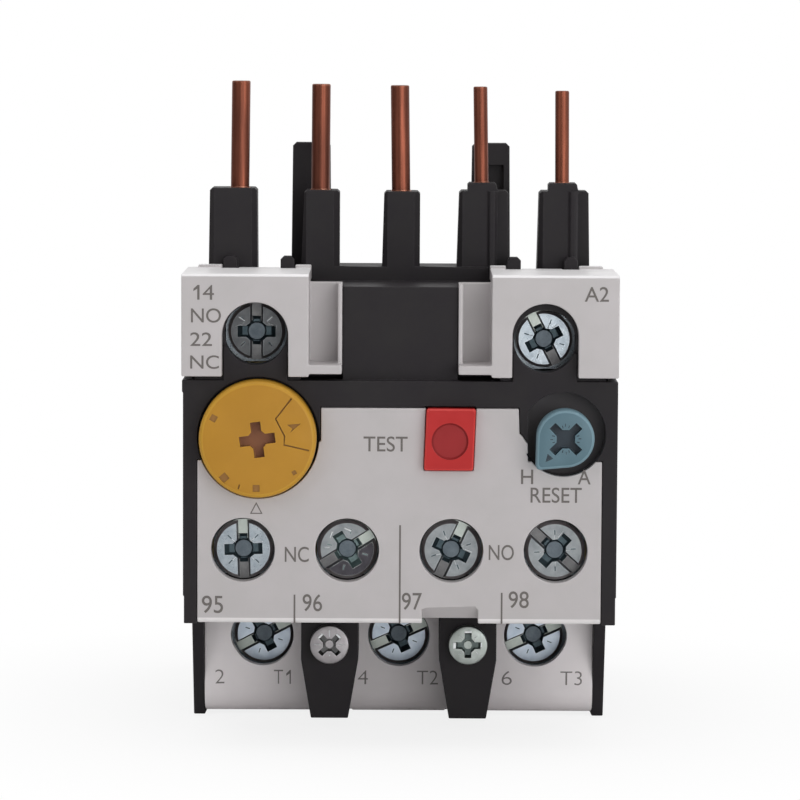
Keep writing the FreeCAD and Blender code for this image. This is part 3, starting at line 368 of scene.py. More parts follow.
def drawn_copper(name):
    material, tree, surface = new_surface(name)
    surface.inputs["Metallic"].default_value = 1.0
    streaks = use_group(tree, SCRATCHES, {"Along": (1.0, 1.0, 0.03), "Lines per millimetre": 2.2})
    texture = use_group(tree, GRAIN, {"Cloud per millimetre": 0.35, "Stretch": (1, 1, 0.25)})
    edges = use_group(tree, EDGE_WEAR, {"Amount": 0.8, "Width": 0.0003, "Breaks per millimetre": 0.5})
    fresh = (140, 80, 61)
    tarnished = (100, 58, 46)
    drawn_lines = (78, 48, 40)
    bare_edge = (236, 172, 146)
    base = mix_colour(tree, spread(tree, texture.outputs["Cloud"], 0.0, 1.0), fresh, tarnished)
    lines = mix_colour(tree, spread(tree, streaks.outputs["Height"], 0.0, 0.6), base, drawn_lines)
    rubbed = mix_colour(tree, edges.outputs["Mask"], lines, bare_edge)
    tree.links.new(rubbed, surface.inputs["Base Color"])
    dull = spread(tree, streaks.outputs["Height"], 0.34, 0.5)
    tree.links.new(dull, surface.inputs["Roughness"])
    bumped(tree, surface, streaks.outputs["Height"], GRAIN_HEIGHT)
    return material


def printed_ink(name, colour, thin):
    material, tree, surface = new_surface(name)
    texture = use_group(tree, GRAIN, {"Per millimetre": 9.0, "Cloud per millimetre": 1.4})
    inked = mix_colour(tree, spread(tree, texture.outputs["Height"], 0.0, 0.6), colour, thin)
    tree.links.new(inked, surface.inputs["Base Color"])
    surface.inputs["Roughness"].default_value = 0.6
    bumped(tree, surface, texture.outputs["Height"], LINE_HEIGHT)
    return material


def make_finishes():
    return {
        "black_plastic": moulded_plastic(
            "black_moulding", (43, 40, 43), (47, 45, 46), (84, 82, 84), 0.46, wear=0.3, shine=0.1
        ),
        "grey_plastic": moulded_plastic(
            "grey_moulding", (190, 185, 186), (184, 180, 180), (214, 211, 211), gloss=0.4
        ),
        "white_plastic": moulded_plastic(
            "pale_moulding", (190, 185, 186), (185, 181, 181), (214, 211, 211), gloss=0.4
        ),
        "yellow_plastic": moulded_plastic(
            "ochre_moulding", (184, 134, 46), (177, 128, 44), (204, 158, 52), gloss=0.44, shine=0.2
        ),
        "red_plastic": moulded_plastic(
            "red_moulding", (186, 40, 40), (176, 36, 36), (206, 62, 58), gloss=0.42, shine=0.25
        ),
        "blue_plastic": moulded_plastic(
            "blue_moulding", (94, 121, 132), (87, 114, 125), (124, 148, 158), gloss=0.42, shine=0.25
        ),
        "inner_plastic": moulded_plastic(
            "inner_moulding", (205, 200, 188), (196, 190, 176), (222, 218, 208), gloss=0.5
        ),
        "copper": drawn_copper("drawn_copper"),
        "zinc_steel": plated_metal(
            "zinc_plate", (176, 184, 190), (150, 160, 168), (222, 228, 232), rough=0.3
        ),
        "plated_brass": plated_metal(
            "plated_brass", (214, 200, 160), (196, 180, 138), (232, 222, 190), rough=0.32
        ),
        "bimetal": plated_metal(
            "bimetal_strip", (176, 172, 168), (158, 154, 150), (200, 198, 196), lines=(1, 1, 0.05)
        ),
        "heater_alloy": plated_metal(
            "heater_ribbon", (150, 142, 136), (122, 112, 108), (176, 170, 166), rough=0.42
        ),
        "spring_steel": plated_metal(
            "spring_wire", (178, 182, 186), (158, 162, 166), (210, 214, 218), rough=0.3
        ),
    }


FINISH = make_finishes()


def zinc(name, colour, cloud, worn, rough=0.34, wear=0.5):
    return plated_metal(name, colour, cloud, worn, rough, wear=wear)


BRIGHT_ZINC = FINISH["zinc_steel"]
BLUE_ZINC = zinc("blue_zinc", (200, 210, 220), (178, 190, 204), (240, 244, 248))
DULL_ZINC = zinc("dull_zinc", (154, 158, 160), (128, 133, 136), (200, 206, 210), 0.4)
DARK_ZINC = zinc("dark_zinc", (108, 110, 112), (88, 90, 92), (170, 174, 178), 0.42)
BROWN_ZINC = zinc("brown_zinc", (84, 82, 88), (64, 62, 66), (190, 196, 194), 0.4, 0.8)
# Slot floors: a paler zinc as painted highlight where the slot catches light, and a greyer zinc as
# painted shade where it lies in shade
SLOT_PAINTED_HIGHLIGHT = zinc("pale_slot", (190, 196, 190), (176, 184, 178), (226, 230, 228), 0.42)
SLOT_PAINTED_SHADE = zinc("grey_slot", (124, 124, 124), (102, 102, 104), (170, 170, 170), 0.45)
SLOT_SHADE = moulded_plastic(
    "slot_shade", (72, 72, 76), (56, 58, 62), (110, 112, 114), 0.4, grain=3.0, wear=0.3
)
RIM_SHADE = moulded_plastic(
    "rim_shade", (150, 143, 145), (112, 106, 108), (180, 176, 178), 0.4, grain=3.0, wear=0.3
)
# Recesses, ticks and recess cores of the slotted heads are darker than the lands: painted shade inside
# the hollow
RECESS_SLATE_PAINTED_SHADE = zinc("recess_slate", (92, 106, 112), (74, 88, 94), (126, 138, 144), 0.5, 0.2)
RECESS_GREEN_PAINTED_SHADE = zinc("recess_green", (132, 150, 150), (110, 126, 126), (170, 184, 184), 0.5, 0.2)
CORE_SLATE_PAINTED_SHADE = zinc("core_slate", (112, 121, 128), (94, 103, 110), (136, 145, 150), 0.5, 0.1)
SATIN_ZINC = zinc("satin_zinc", (178, 174, 176), (164, 160, 162), (220, 220, 222), 0.45)
# The cross recesses of the housing screws are darker than their heads: painted shade inside the hollow
SATIN_RECESS_PAINTED_SHADE = zinc("satin_recess", (118, 118, 118), (98, 98, 98), (156, 156, 156), 0.45, 0.2)
GREEN_ZINC = zinc("green_zinc", (188, 194, 190), (170, 178, 173), (222, 228, 224), 0.45)
GREEN_RECESS_PAINTED_SHADE = zinc("green_recess", (118, 128, 126), (98, 108, 106), (150, 160, 156), 0.45, 0.2)
# Burrs are real tool marks; their near-white colour is a painted glint
BURR_PAINTED_GLINT = zinc("bright_burr", (246, 248, 248), (238, 242, 244), (250, 250, 250), 0.5, 0.0)
# The dial's engraved marks take a darker ochre and its cross pocket a darker brown: painted shade in the
# grooves
OCHRE_GROOVE_PAINTED_SHADE = moulded_plastic(
    "ochre_groove", (150, 105, 40), (140, 96, 38), (160, 112, 46), gloss=0.6, wear=0.0
)
OCHRE_POCKET_PAINTED_SHADE = moulded_plastic(
    "ochre_pocket", (140, 88, 50), (126, 78, 50), (196, 150, 76), gloss=0.6, wear=0.3
)
# The test button's dish is a darker red as painted shade in the hollow, and the ring inside it darker
# still as a painted shadow
RED_DISH_PAINTED_SHADE = moulded_plastic(
    "red_dish", (156, 38, 40), (150, 36, 38), (162, 42, 42), gloss=0.42, shine=0.25
)
RED_RING_PAINTED_SHADOW = moulded_plastic(
    "red_ring", (138, 28, 30), (132, 26, 28), (146, 32, 32), gloss=0.5, wear=0.0, shine=0.2
)
# The test button's bevelled edge is a paler red: painted light on the bevel
RED_EDGE_PAINTED_LIGHT = moulded_plastic(
    "red_edge", (206, 66, 62), (198, 58, 56), (216, 84, 78), gloss=0.42, shine=0.25
)
# The reset knob's rim is a paler blue: painted light on the chamfer
BLUE_EDGE_PAINTED_LIGHT = moulded_plastic(
    "blue_edge", (116, 145, 156), (110, 138, 150), (146, 172, 180), gloss=0.42, shine=0.3
)
# The dial's rim and side take a paler ochre: painted light on the chamfer
OCHRE_EDGE_PAINTED_LIGHT = moulded_plastic(
    "ochre_edge", (194, 146, 48), (187, 139, 46), (208, 164, 58), shine=0.25
)
# The knob's cross recess, pointer and ticks are a dark blue: painted shade in the engraving
BLUE_POCKET_PAINTED_SHADE = moulded_plastic(
    "blue_pocket", (38, 54, 66), (32, 46, 58), (104, 136, 148), gloss=0.5, wear=0.6
)
# The panel's rounded foot takes a paler grey: painted light, as if lit from below
PANEL_FOOT_PAINTED_LIGHT = moulded_plastic("panel_foot", (232, 228, 228), (226, 223, 223), (240, 238, 238))
# The terminal shroud is a much paler grey than the panel's moulding: painted light to lift the shade
# under the panel
SHROUD_PAINTED_LIGHT = moulded_plastic("shroud_grey", (242, 236, 237), (236, 230, 231), (248, 246, 246))
# The covers' top faces take a near-white copy of their grey: painted light from above
COVER_TOP_PAINTED_LIGHT = moulded_plastic("cover_top", (232, 230, 231), (227, 225, 226), (240, 239, 240))
# A paler black for the knob's pocket: painted light against the shade inside it
BLACK_POCKET_PAINTED_LIGHT = moulded_plastic("black_pocket", (84, 82, 84), (80, 78, 80), (90, 88, 90), 0.5, shine=0.1)
DARK_INK = printed_ink("dark_ink", (100, 95, 92), (114, 108, 105))
PALE_INK = printed_ink("pale_ink", (124, 118, 116), (140, 134, 132))


# Making pieces
def keep_piece(name, shape, finishes, body, crease=32.0):
    for edge in shape.edges:
        if edge.is_manifold:
            edge.smooth = edge.calc_face_angle() < math.radians(crease)
    for face in shape.faces:
        face.smooth = True
    mesh = bpy.data.meshes.new(name)
    shape.to_mesh(mesh)
    shape.free()
    for finish in finishes:
        mesh.materials.append(finish)
    piece = bpy.data.objects.new(name, mesh)
    bpy.context.scene.collection.objects.link(piece)
    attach(piece, body)
    return piece


def keep_large_faces_flat(piece):
    flat = piece.modifiers.new("flat_faces", "WEIGHTED_NORMAL")
    flat.keep_sharp = True
    flat.weight = 90


def merged_copy(name):
    shape = bmesh.new()
    shape.from_mesh(frame["nodes"][name].data)
    bmesh.ops.remove_doubles(shape, verts=shape.verts, dist=0.002 * MM)
    bmesh.ops.dissolve_limit(shape, angle_limit=math.radians(0.5), verts=shape.verts, edges=shape.edges)
    return shape


def sharp_edges(shape):
    limit = math.radians(50)
    return [e for e in shape.edges if e.is_manifold and e.calc_face_angle() > limit]


def soften(shape, edges, width, steps=2):
    bmesh.ops.bevel(
        shape,
        geom=edges,
        offset=width * MM,
        offset_type="OFFSET",
        segments=steps,
        profile=0.5,
        affect="EDGES",
        clamp_overlap=False,
        material=-1,
    )


def moulding(node_name, corner, reshape, finishes):
    shape = merged_copy(node_name)
    reshape(shape)
    soften(shape, sharp_edges(shape), corner)
    piece = keep_piece(node_name + "_moulding", shape, finishes, "housing")
    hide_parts(node_name)
    keep_large_faces_flat(piece)


def set_on_front(shape, x, depth, z, turn=0):
    spot = Matrix.Translation(at(x, depth, z))
    whole = spot @ FACING_FRONT @ Matrix.Rotation(math.radians(turn), 4, "Z")
    bmesh.ops.transform(shape, matrix=whole, verts=shape.verts)
    bmesh.ops.recalc_face_normals(shape, faces=shape.faces)


def add_disc(shape, height, lower, upper, depth, segments, finish=0):
    made = bmesh.ops.create_cone(
        shape,
        cap_ends=True,
        segments=segments,
        radius1=lower * MM,
        radius2=upper * MM,
        depth=depth * MM,
        matrix=Matrix.Translation((0, 0, height * MM)),
    )
    for face in {face for vert in made["verts"] for face in vert.link_faces}:
        face.material_index = finish


def add_to(shape, part, matrix=None):
    if matrix:
        bmesh.ops.transform(part, matrix=matrix, verts=part.verts)
    mesh = bpy.data.meshes.new("part")
    part.to_mesh(mesh)
    part.free()
    shape.from_mesh(mesh)
    bpy.data.meshes.remove(mesh)


# Faces with marks cut into them
def ring(shape, points):
    verts = [shape.verts.new((x * MM, y * MM, 0)) for x, y in points]
    return [shape.edges.new((verts[i - 1], verts[i])) for i in range(len(verts))]


def pulled(shape, edges):
    made = bmesh.ops.extrude_edge_only(shape, edges=edges)["geom"]
    moved = [item for item in made if isinstance(item, bmesh.types.BMVert)]
    rim = [item for item in made if isinstance(item, bmesh.types.BMEdge)]
    return moved, [edge for edge in rim if all(vert in moved for vert in edge.verts)]


def engraved_face(shape, outline, marks):
    outer = ring(shape, outline)
    loops = [ring(shape, points) for points, depth, finish in marks]
    every = outer + [edge for loop in loops for edge in loop]
    bmesh.ops.triangle_fill(shape, use_beauty=True, edges=every, normal=(0, 0, 1))
    for loop, (points, depth, finish) in zip(loops, marks):
        before = set(shape.faces)
        lower, floor = pulled(shape, loop)
        bmesh.ops.translate(shape, verts=lower, vec=(0, 0, -depth * MM))
        bmesh.ops.triangle_fill(shape, use_beauty=True, edges=floor, normal=(0, 0, 1))
        for face in set(shape.faces) - before:
            face.material_index = finish
    return outer


def skirt(shape, rim, steps, finish):
    edges = rim
    before = set(shape.faces)
    for growth, drop in steps:
        moved, edges = pulled(shape, edges)
        bmesh.ops.scale(shape, vec=(growth, growth, 1), verts=moved)
        bmesh.ops.translate(shape, verts=moved, vec=(0, 0, -drop * MM))
    bmesh.ops.edgeloop_fill(shape, edges=edges)
    for face in set(shape.faces) - before:
        face.material_index = finish


def circle(radius, count):
    turn = math.tau / count
    return [(radius * math.cos(i * turn), radius * math.sin(i * turn)) for i in range(count)]


def turned(points, degrees, move=(0, 0)):
    c = math.cos(math.radians(degrees))
    s = math.sin(math.radians(degrees))
    return [(x * c - y * s + move[0], x * s + y * c + move[1]) for x, y in points]


def cross_outline(arm, reach, core):
    quarter = [(reach, -arm), (reach, arm), (core, arm), (arm, core)]
    points = []
    for i in range(4):
        points += turned(quarter, 90 * i)
    return points


def stroke_outline(points, width):
    left = []
    right = []
    for i, (x, y) in enumerate(points):
        before = points[max(i - 1, 0)]
        after = points[min(i + 1, len(points) - 1)]
        along = Vector((after[0] - before[0], after[1] - before[1])).normalized()
        left.append((x - along.y * width / 2, y + along.x * width / 2))
        right.append((x + along.y * width / 2, y - along.x * width / 2))
    return left + right[::-1]


# Screws
# Finishes of a slotted head: right land, recess, upper slot, lower slot, slot walls, rim, left land,
# recess core and burrs
LAND, RECESS, SLOT_UP, SLOT_DOWN, WALL, RIM, LEFT_LAND, CORE, BURR = range(9)
SLOT_HALF = 0.67
SLOT_FLOOR_HALF = 0.47
SLOT_DEPTH = 0.5
RECESS_DEPTH = 1.05
ARM_HALF = 0.58
ARM_REACH = 1.98
ALONG_HALF = 0.44
ALONG_UP = 1.6
ALONG_DOWN = 1.4
CORE_REACH = 1.1
TICK = [(1.22, 1.12), (1.58, 1.48)]


def recess_outline():
    upper = [(CORE_REACH, ARM_HALF), (ALONG_HALF, CORE_REACH), (ALONG_HALF, ALONG_UP)]
    lower = [(ALONG_HALF, -ALONG_DOWN), (ALONG_HALF, -CORE_REACH), (CORE_REACH, -ARM_HALF)]
    right = lower + [(ARM_REACH, -ARM_HALF), (ARM_REACH, ARM_HALF)] + upper
    return right + [(-x, y) for x, y in reversed(right)]


def land_outline(flat):
    slope = (CORE_REACH - SLOT_HALF) / (CORE_REACH - ALONG_HALF)
    notch = ARM_HALF + slope * (CORE_REACH - ARM_HALF)
    last = math.acos(SLOT_HALF / flat)
    steps = 36
    arc = []
    for i in range(steps + 1):
        angle = last * (2 * i / steps - 1)
        arc.append((flat * math.cos(angle), flat * math.sin(angle)))
    upper = [(SLOT_HALF, notch), (CORE_REACH, ARM_HALF), (ARM_REACH, ARM_HALF)]
    return arc + upper + [(x, -y) for x, y in reversed(upper)]


def head_land(flat, radius, finish):
    shape = bmesh.new()
    ticks = [stroke_outline([(x, side * y) for x, y in TICK], 0.12) for side in (-1, 1)]
    rim = engraved_face(shape, land_outline(flat), [(tick, 0.12, RECESS) for tick in ticks])
    for face in shape.faces:
        if face.material_index == 0:
            face.material_index = finish
    before = set(shape.faces)
    lower, floor = pulled(shape, rim)
    for vert in lower:
        out = vert.co.xy.length
        if out > (flat - 0.02) * MM:
            vert.co.x *= radius * MM / out
            vert.co.y *= radius * MM / out
        if abs(vert.co.x) < (SLOT_HALF + 0.15) * MM:
            vert.co.x = SLOT_FLOOR_HALF * MM
        vert.co.z = -(SLOT_DEPTH + 0.01) * MM
    for face in set(shape.faces) - before:
        centre = face.calc_center_median() / MM
        if centre.xy.length > flat - 0.1:
            face.material_index = RIM
        elif abs(centre.x) < SLOT_HALF:
            face.material_index = WALL
        else:
            face.material_index = RECESS
    bmesh.ops.triangle_fill(shape, use_beauty=True, edges=floor, normal=(0, 0, 1))
    return shape


def slotted_head(radius, flat, height):
    shape = bmesh.new()
    drop = RECESS_DEPTH - SLOT_DEPTH
    rim = engraved_face(shape, circle(radius, 72), [(recess_outline(), drop, RECESS)])
    for face in shape.faces:
        if face.material_index == 0:
            # The upper and lower halves of the slot floor take their own finishes, which carry the
            # painted highlight or painted shade
            face.material_index = SLOT_UP if face.calc_center_median().y > 0 else SLOT_DOWN
    deepest = [vert for vert in shape.verts if vert.co.z < -drop * 0.9 * MM]
    bmesh.ops.scale(shape, vec=(0.76, 0.76, 1), verts=deepest)
    skirt(shape, rim, [(1.0, height - SLOT_DEPTH)], RIM)
    add_disc(shape, 0.14 - drop, 1.0, 0.86, 0.3, 32, CORE)
    bmesh.ops.translate(shape, verts=shape.verts, vec=(0, 0, -SLOT_DEPTH * MM))
    add_to(shape, head_land(flat, radius, LAND))
    add_to(shape, head_land(flat, radius, LEFT_LAND), Matrix.Rotation(math.pi, 4, "Z"))
    return shape


def add_burr(shape, x, y, turn, length, width, finish):
    part = bmesh.new()
    bmesh.ops.create_cube(part, size=1.0)
    bmesh.ops.scale(part, vec=(length * MM, width * MM, 0.06 * MM), verts=part.verts)
    top = [edge for edge in part.edges if all(vert.co.z > 0 for vert in edge.verts)]
    soften(part, top, 0.04, 1)
    for face in part.faces:
        face.material_index = finish
    spot = Matrix.Translation((x * MM, y * MM, 0.02 * MM))
    add_to(shape, part, spot @ Matrix.Rotation(math.radians(turn), 4, "Z"))


def threaded_shank(shape, radius, start, length, pitch):
    root = radius * 0.86
    turns = int(length / pitch)
    steps = 20
    profile = []
    for out, rise in ((root, 0.0), (radius, pitch / 2), (root, pitch)):
        profile.append(shape.verts.new((out * MM, 0, (start - length + rise) * MM)))
    edges = [shape.edges.new(pair) for pair in ((profile[0], profile[1]), (profile[1], profile[2]))]
    bmesh.ops.spin(
        shape,
        geom=profile + edges,
        axis=(0, 0, 1),
        cent=(0, 0, 0),
        dvec=(0, 0, pitch * MM / steps),
        angle=math.tau * (turns - 1),
        steps=steps * (turns - 1),
    )
    add_disc(shape, start - length / 2, root * 0.98, root * 1.02, length, 24)


def terminal_screw(node_name, body, turn, sizes, looks, burrs):
    low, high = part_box(node_name)
    length = (high.y - low.y) / MM
    radius, flat, height, shank, pitch, ahead, lower_by = sizes
    land, left_land, recess, upper, lower = looks
    shape = slotted_head(radius, flat, height + ahead - 0.03)
    for x, y, angle, long, wide in burrs:
        add_burr(shape, x, y, angle, long, wide, BURR)
    threaded_shank(shape, shank, 0.05 - height - ahead, length - height, pitch)
    x, z = middle(node_name)
    set_on_front(shape, x, front_of(node_name) - ahead, z - lower_by, turn)
    finishes = [land, recess, upper, lower, SLOT_SHADE, RIM_SHADE, left_land, CORE_SLATE_PAINTED_SHADE, BURR_PAINTED_GLINT]
    piece = keep_piece(node_name + "_turned", shape, finishes, body)
    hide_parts(node_name)


def make_terminal_screws():
    # Each look gives right land, left land, recess (painted shade), upper slot and lower slot (painted
    # highlight or painted shade)
    bright = (BRIGHT_ZINC, BRIGHT_ZINC, RECESS_SLATE_PAINTED_SHADE, SLOT_PAINTED_HIGHLIGHT, SLOT_PAINTED_SHADE)
    blue = (BLUE_ZINC, BLUE_ZINC, RECESS_SLATE_PAINTED_SHADE, SLOT_PAINTED_HIGHLIGHT, SLOT_PAINTED_HIGHLIGHT)
    dull = (DULL_ZINC, DULL_ZINC, RECESS_SLATE_PAINTED_SHADE, SLOT_PAINTED_SHADE, SLOT_PAINTED_SHADE)
    pale_up = (DULL_ZINC, DULL_ZINC, RECESS_SLATE_PAINTED_SHADE, SLOT_PAINTED_HIGHLIGHT, SLOT_PAINTED_SHADE)
    dark = (DARK_ZINC, DARK_ZINC, RECESS_SLATE_PAINTED_SHADE, SLOT_PAINTED_SHADE, SLOT_PAINTED_SHADE)
    half_dark = (BROWN_ZINC, DULL_ZINC, RECESS_GREEN_PAINTED_SHADE, SLOT_PAINTED_HIGHLIGHT, SLOT_PAINTED_SHADE)
    scuffed = ((-1.75, 1.15, 35, 0.8, 0.16), (-2.2, -0.6, -50, 0.7, 0.14), (-1.3, -1.7, 60, 0.6, 0.12))
    nicked = ((0.98, 0.95, 45, 0.5, 0.08), (-0.98, 0.9, -40, 0.45, 0.08), (-1.0, -0.98, 40, 0.5, 0.07))
    nicked += ((0.92, -1.0, -50, 0.45, 0.07), (1.65, 0.7, 5, 0.8, 0.07))
    torn = ((-1.55, 1.3, -35, 0.75, 0.14), (-1.75, 0.68, 20, 0.9, 0.09), (1.35, 1.3, 40, 0.75, 0.14))
    torn += ((1.6, 0.7, -20, 0.9, 0.09), (-1.5, -1.4, 45, 0.5, 0.08), (1.45, -1.3, -55, 0.6, 0.08))
    # Radius and flat of the head, its height, radius and pitch of the thread, and how far the head
    # stands ahead of its solid and below it
    upper_sizes = (2.95, 2.64, 1.8, 1.6, 0.6, 0.0, 0.0)
    aux_sizes = (3.1, 2.76, 1.8, 1.7, 0.6, 2.2, 0.15)
    main_sizes = (3.24, 2.9, 2.2, 1.82, 0.7, 0.0, 0.0)
    for name, body, turn, sizes, looks, burrs in (
        ("upper_screw_left", "upper_left_screw", 0, upper_sizes, dark, torn),
        ("upper_screw_right", "upper_right_screw", 27, upper_sizes, bright, nicked),
        ("aux_screw_95", "aux_95_screw", 2, aux_sizes, bright, nicked),
        ("aux_screw_96", "aux_96_screw", -58, aux_sizes, half_dark, scuffed),
        ("aux_screw_97", "aux_97_screw", -25, aux_sizes, pale_up, nicked),
        ("aux_screw_98", "aux_98_screw", 48, aux_sizes, dull, nicked),
        ("main_screw_1", "main_1_screw", -62, main_sizes, blue, ()),
        ("main_screw_2", "main_2_screw", -66, main_sizes, blue, ()),
        ("main_screw_3", "main_3_screw", -66, main_sizes, blue, ()),
    ):
        terminal_screw(name, body, turn, sizes, looks, burrs)


def crossed_head(recess, depth, land, finish):
    shape = bmesh.new()
    rim = engraved_face(shape, circle(1.92, 64), [(recess, depth, finish)])
    for face in shape.faces:
        if face.material_index == 0:
            face.material_index = land
    deepest = [vert for vert in shape.verts if vert.co.z < -depth * 0.9 * MM]
    bmesh.ops.scale(shape, vec=(0.82, 0.82, 1), verts=deepest)
    skirt(shape, rim, [(2.01 / 1.92, 0.04), (2.08 / 2.01, 0.12), (1.0, 1.04)], land)
    add_disc(shape, 0.06 - depth, 0.5, 0.42, 0.2, 24, land)
    return shape


def make_housing_screws():
    low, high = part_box("housing_screws")
    reach = (high.x - low.x) / 2 / MM - 2.0
    length = (high.y - low.y) / MM
    left = crossed_head(turned(cross_outline(0.31, 1.42, 0.66), 45), 0.7, 0, 1)
    right = crossed_head(cross_outline(0.37, 1.34, 0.74), 0.7, 2, 3)
    for x, y, turn, long, wide in (
        (-0.95, 0.95, 45, 0.62, 0.22),
        (0.95, 0.95, -45, 0.62, 0.22),
        (0.0, 1.25, 90, 0.7, 0.1),
        (-1.25, 0.06, 0, 0.7, 0.1),
        (1.2, 0.02, 0, 0.7, 0.1),
        (0.0, -1.1, 90, 0.2, 0.12),
    ):
        add_burr(left, x, y, turn, long, wide, 4)
    for x, y, turn, long, wide in (
        (0.0, 1.46, 0, 0.76, 0.24),
        (-1.44, 0.0, 90, 0.66, 0.3),
        (1.42, 0.12, 90, 0.5, 0.16),
        (0.75, 0.85, 45, 0.55, 0.08),
        (-0.75, 0.85, -45, 0.4, 0.08),
        (-0.85, -0.8, 45, 0.45, 0.09),
        (0.95, -0.75, -45, 0.5, 0.09),
    ):
        add_burr(right, x, y, turn, long, wide, 4)
    both = bmesh.new()
    z = (low.z + high.z) / 2 / MM
    for shape, x in ((left, -reach), (right, reach)):
        threaded_shank(shape, 1.25, -1.2, length - 1.2, 0.5)
        spot = Matrix.Translation(at(x, front_of("housing_screws"), z))
        add_to(both, shape, spot @ FACING_FRONT)
    bmesh.ops.recalc_face_normals(both, faces=both.faces)
    finishes = [SATIN_ZINC, SATIN_RECESS_PAINTED_SHADE, GREEN_ZINC, GREEN_RECESS_PAINTED_SHADE, BURR_PAINTED_GLINT]
    piece = keep_piece("housing_screws_turned", both, finishes, "housing")
    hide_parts("housing_screws")


# Setting dial
def make_dial():
    x, z = middle("setting_dial")
    sector = [(3.50, 4.28), (1.87, 2.17), (2.80, 0.38), (2.74, -0.51), (5.30, -1.08)]
    arrow = [(4.48, 1.70), (3.04, 1.57), (3.60, 1.18), (3.33, 0.72)]
    tick = [(-1.82, -4.62), (-1.96, -5.10)]
    marks = [
        (turned(cross_outline(0.53, 1.84, 0.86), 7.5), 0.9, 2),
        (stroke_outline(sector, 0.17), 0.2, 1),
        (arrow, 0.14, 1),
        (stroke_outline(tick, 0.15), 0.18, 1),
    ]
    for spot, size, angle in (
        ((-3.40, -3.93), 0.40, 40),
        ((-0.11, -5.02), 0.36, 0),
        ((-4.50, 2.20), 0.34, 60),
        ((3.80, -3.37), 0.22, 30),
    ):
        outline = [(size, -size), (size, size), (-size, size), (-size, -size)]
        marks.append((turned(outline, angle, spot), 0.12, 1))
    shape = bmesh.new()
    rim = engraved_face(shape, circle(5.62, 96), marks)
    grow = [(5.74 / 5.62, 0.03), (5.9 / 5.74, 0.12), (6.0 / 5.9, 0.16), (6.05 / 6.0, 0.25), (1.0, 2.7)]
    skirt(shape, rim, grow, 3)
    set_on_front(shape, x, front_of("setting_dial"), z)
    finishes = [FINISH["yellow_plastic"], OCHRE_GROOVE_PAINTED_SHADE, OCHRE_POCKET_PAINTED_SHADE, OCHRE_EDGE_PAINTED_LIGHT]
    piece = keep_piece("dial_face", shape, finishes, "dial")
    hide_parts("setting_dial")


# Test button
def make_test_button():
    low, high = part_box("test_button")
    x = 5.17
    z = 32.69
    half_x = 2.65
    half_z = 3.18
    lean = 0.11
    lower_cut = 0.14
    upper_cut = 0.15
    edge = 0.16
    edge_drop = 0.14
    dish_below_middle = 0.17
    dish_depth = 0.22
    outline = []
    corners = ((-1, -1, lower_cut), (1, -1, lower_cut), (1, 1, upper_cut), (-1, 1, upper_cut))
    for side_x, side_z, cut in corners:
        corner = (side_x * (half_x - lean - edge) + side_z * lean, side_z * (half_z - edge))
        first = (corner[0], corner[1] - side_z * cut)
        second = (corner[0] - side_x * cut, corner[1])
        outline += [first, second] if side_x == side_z else [second, first]
    dish = [(px, py - dish_below_middle) for px, py in circle(1.9, 64)]
    shape = bmesh.new()
    rim = engraved_face(shape, outline, [(dish, dish_depth, 1)])
    lower = [vert for vert in shape.verts if vert.co.z < -0.1 * MM]
    dish_floor = [face for face in shape.faces if all(vert in lower for vert in face.verts)]
    sunk = bmesh.ops.inset_region(shape, faces=dish_floor, thickness=0.2 * MM, depth=-0.1 * MM)["faces"]
    for face in sunk:
        face.material_index = 2
    moved, edges = pulled(shape, rim)
    bmesh.ops.scale(shape, vec=(half_x / (half_x - edge), half_z / (half_z - edge), 1), verts=moved)
    bmesh.ops.translate(shape, verts=moved, vec=(0, 0, -edge_drop * MM))
    for face in [face for vert in moved for face in vert.link_faces]:
        face.material_index = 3
    length = (high.y - low.y) / MM - edge_drop
    before = set(shape.faces)
    moved, edges = pulled(shape, edges)
    bmesh.ops.translate(shape, verts=moved, vec=(0, 0, -length * MM))
    bmesh.ops.edgeloop_fill(shape, edges=edges)
    for face in set(shape.faces) - before:
        face.material_index = 0
    set_on_front(shape, x, front_of("test_button"), z)
    finishes = [FINISH["red_plastic"], RED_DISH_PAINTED_SHADE, RED_RING_PAINTED_SHADOW, RED_EDGE_PAINTED_LIGHT]
    piece = keep_piece("test_button_cap", shape, finishes, "test", 24.0)
    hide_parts("test_button")


# Reset knob
def teardrop(radius, tip):
    count = 40
    tip_round = 0.35
    reach = tip - tip_round
    spread_angle = math.degrees(math.acos((radius - tip_round) / reach))
    points = []
    for i in range(count + 1):
        degrees = spread_angle + (360 - 2 * spread_angle) * i / count
        a = math.radians(degrees)
        points.append((radius * math.cos(a), radius * math.sin(a)))
    for i in range(7):
        degrees = -spread_angle + 2 * spread_angle * i / 6
        a = math.radians(degrees)
        points.append((reach + tip_round * math.cos(a), tip_round * math.sin(a)))
    return points


def make_reset_knob():
    x = 17.03
    z = 32.98
    drop = turned(teardrop(2.7, 3.86), 227)
    cross = turned(cross_outline(0.43, 1.95, 0.92), 45)
    pointer = turned([(2.35, -0.42), (3.15, 0.0), (2.35, 0.36)], 229)
    marks = [(cross, 1.1, 1), (pointer, 0.16, 1)]
    for middle_turn in (0, 90, 180, 270):
        for side, out in ((-14, 1.38), (2, 1.52), (15, 1.36)):
            tick = stroke_outline([(out - 0.22, 0), (out + 0.08, 0)], 0.09)
            marks.append((turned(tick, middle_turn + side), 0.12, 1))
    shape = bmesh.new()
    rim = engraved_face(shape, drop, marks)
    skirt(shape, rim, [(2.82 / 2.7, 0.07), (2.91 / 2.82, 0.1), (2.97 / 2.91, 0.14), (1.0, 2.35)], 2)
    set_on_front(shape, x, front_of("reset_knob"), z)
    finishes = [FINISH["blue_plastic"], BLUE_POCKET_PAINTED_SHADE, BLUE_EDGE_PAINTED_LIGHT]
    piece = keep_piece("reset_knob_cap", shape, finishes, "knob")
    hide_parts("reset_knob")


